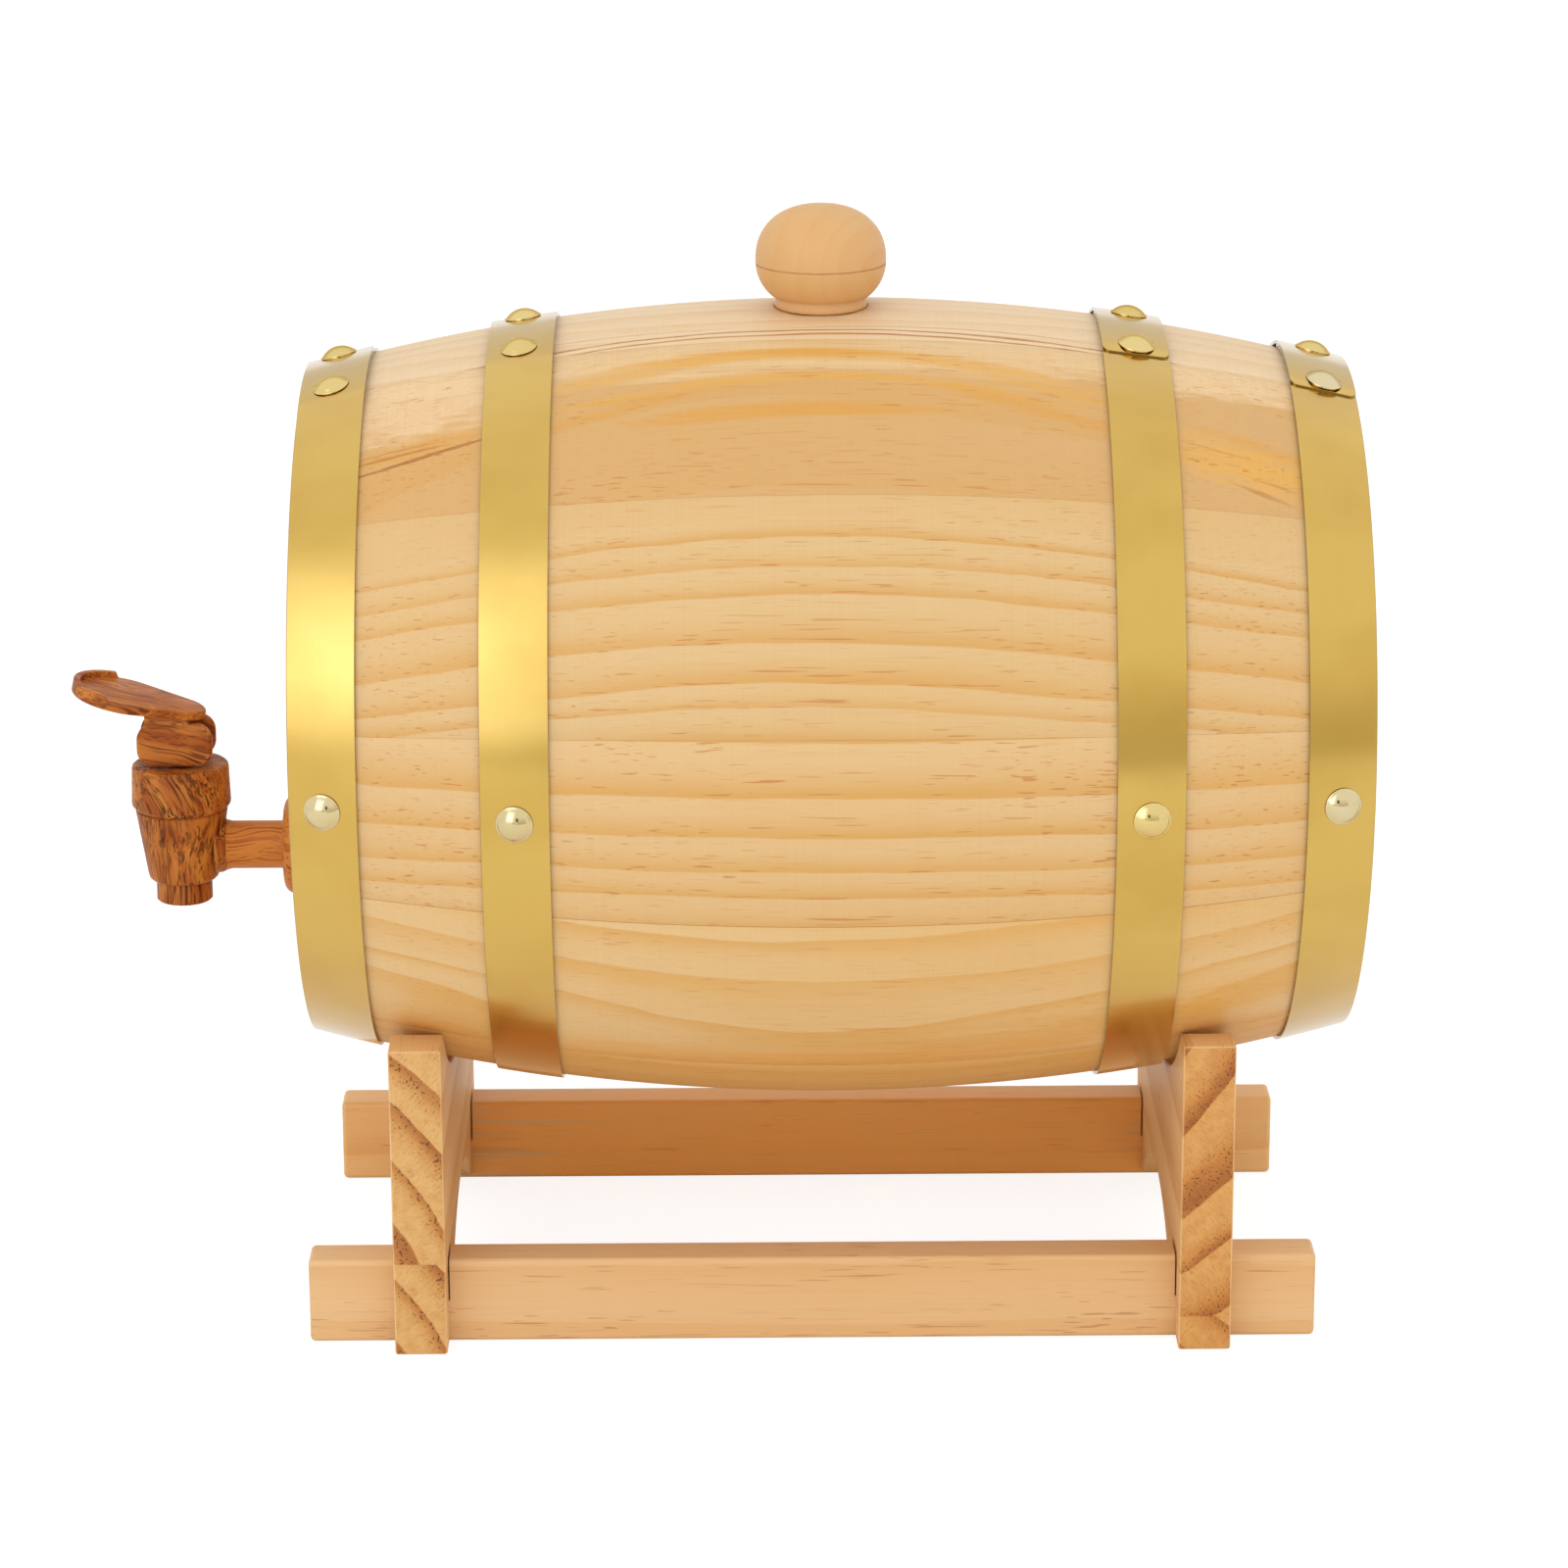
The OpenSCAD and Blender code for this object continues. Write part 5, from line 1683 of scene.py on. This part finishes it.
    def shaded_floor(self, name, low, high):
        """A glowing sheet on the floor between the rails that only gloss sees: painted shadow lit warm by
        light bounced from the wood.
        """
        place = ((low[0] + high[0]) / 2, (low[1] + high[1]) / 2, 0.0006)
        card = self.sheet(name, place, high[0] - low[0], high[1] - low[1])
        f = Finish(f"{name}_paint")
        along = f.span(f.axis(f.coords(), 1), low[1], high[1])
        f.glow(f.mix(along, (0.50, 0.165, 0.05), (0.62, 0.38, 0.18)), 1.0)
        self.only_gloss(card, f)

    def world(self, g):
        """Even light from all sides, white to the camera and in gloss."""
        world = bpy.data.worlds.new("studio_world")
        bpy.context.scene.world = world
        world.use_nodes = True
        tree = world.node_tree
        soft = tree.nodes["Background"]
        soft.inputs["Color"].default_value = (1.0, 0.995, 0.98, 1.0)
        soft.inputs["Strength"].default_value = g.world
        white = tree.nodes.new("ShaderNodeBackground")
        white.inputs["Color"].default_value = (1.0, 1.0, 1.0, 1.0)
        white.inputs["Strength"].default_value = 1.0
        choice = tree.nodes.new("ShaderNodeMixShader")
        kinds = ("Is Camera Ray", "Is Glossy Ray", "Is Transmission Ray")
        tree.links.new(self.seen(tree, *kinds), choice.inputs[0])
        tree.links.new(soft.outputs[0], choice.inputs[1])
        tree.links.new(white.outputs[0], choice.inputs[2])
        tree.links.new(choice.outputs[0], tree.nodes["World Output"].inputs["Surface"])

    def camera(self):
        """The camera at the photograph's angle."""
        data = bpy.data.cameras.new("photo_camera")
        data.sensor_width, data.lens = 36.0, self.LENS
        data.clip_start, data.clip_end = 0.05, 50
        camera = bpy.data.objects.new("photo_camera", data)
        bpy.context.scene.collection.objects.link(camera)
        camera.location = self.CAMERA
        look = (Vector(self.CAMERA_AIM) - Vector(self.CAMERA)).to_track_quat("-Z", "Y").to_matrix()
        camera.rotation_euler = (look @ Matrix.Rotation(self.CAMERA_ROLL, 3, "Z")).to_euler()
        bpy.context.scene.camera = camera

    def execute(self, context):
        g = context.scene.stage_settings
        context.scene.view_settings.view_transform = "Standard"
        self.camera()
        self.floor(g)
        self.world(g)
        # Glowing cards that only gloss sees are painted reflections: a dim room in front, a low strip to the
        # tap's side, the camera, and a pale wall behind.
        self.card("room_card", (-0.45, -2.45, -0.30), (2.4, -2.45, 1.25), (0.55, 1.0), 0.7)
        self.card("low_card", (-1.25, -2.45, 0.03), (-0.40, -2.45, 0.36), (0.42, 0.80), 0.5)
        # Painted shadow and warm bounce light on the floor under the barrel, for gloss only
        self.shaded_floor("under_card", (-0.125, -0.0775), (0.185, 0.075))
        self.card("camera_card", (-0.14, -1.85, 0.40), (0.17, -1.85, 0.92), (0.04, 0.08), 0.001)
        self.card("back_card", (-4.0, 2.6, 0.9), (4.0, 2.6, 3.1), (0.72, 0.94), 0.001)
        self.softbox("softbox_tap_side", self.TAP_SIDE, 1.2, 1.3, g.key)
        # What gloss sees of it fades from its middle to its edge, in steps
        x, y, _ = self.TAP_SIDE
        for k in range(5):
            wide, tall = 1.60 - 0.30 * k, 2.30 - 0.45 * k
            power = math.pi * wide * tall * g.glare
            place = (x + 0.01 * k, y + 0.01 * k, 1.14 - 0.05 * k)
            self.softbox(f"softbox_shine_{k + 1}", place, wide, tall, power, shine=True)
        self.softbox("softbox_top", (0.1, -0.4, 2.2), 2.4, 1.8, g.top)
        self.softbox("soft_fill", (0.35, -2.6, 0.34), 2.4, 0.8, g.fill)
        return {"FINISHED"}


class BARREL_PT_panel(bpy.types.Panel):
    """Steps and sizes of the barrel dispenser"""

    bl_label = "Barrel dispenser"
    bl_idname = "BARREL_PT_panel"
    bl_space_type = "VIEW_3D"
    bl_region_type = "UI"
    bl_category = "Barrel"

    def draw(self, context):
        """Lists the steps, then each group of settings."""
        column = self.layout.column()
        for operator in STEPS:
            column.operator(operator.bl_idname)
        for name, group in SETTINGS.items():
            box = self.layout.box()
            box.label(text=group.__doc__)
            for key in group.__annotations__:
                box.prop(getattr(context.scene, name), key)


STEPS = (
    BARREL_OT_stage,
    BARREL_OT_staves,
    BARREL_OT_heads,
    BARREL_OT_hoops,
    BARREL_OT_fasteners,
    BARREL_OT_bung,
    BARREL_OT_tap,
    BARREL_OT_lever,
    BARREL_OT_cradles,
    BARREL_OT_rails,
)
CLASSES = (*SETTINGS.values(), *STEPS, BARREL_PT_panel)


def register():
    """Registers the classes and gives the scene its settings."""
    for kind in CLASSES:
        bpy.utils.register_class(kind)
    for name, group in SETTINGS.items():
        setattr(bpy.types.Scene, name, PointerProperty(type=group))


def unregister():
    """Takes the settings and classes away again."""
    for name in SETTINGS:
        delattr(bpy.types.Scene, name)
    for kind in reversed(CLASSES):
        bpy.utils.unregister_class(kind)


def main():
    register()
    for step in STEPS:
        group, call = step.bl_idname.split(".")
        getattr(getattr(bpy.ops, group), call)()


if __name__ == "__main__":
    main()
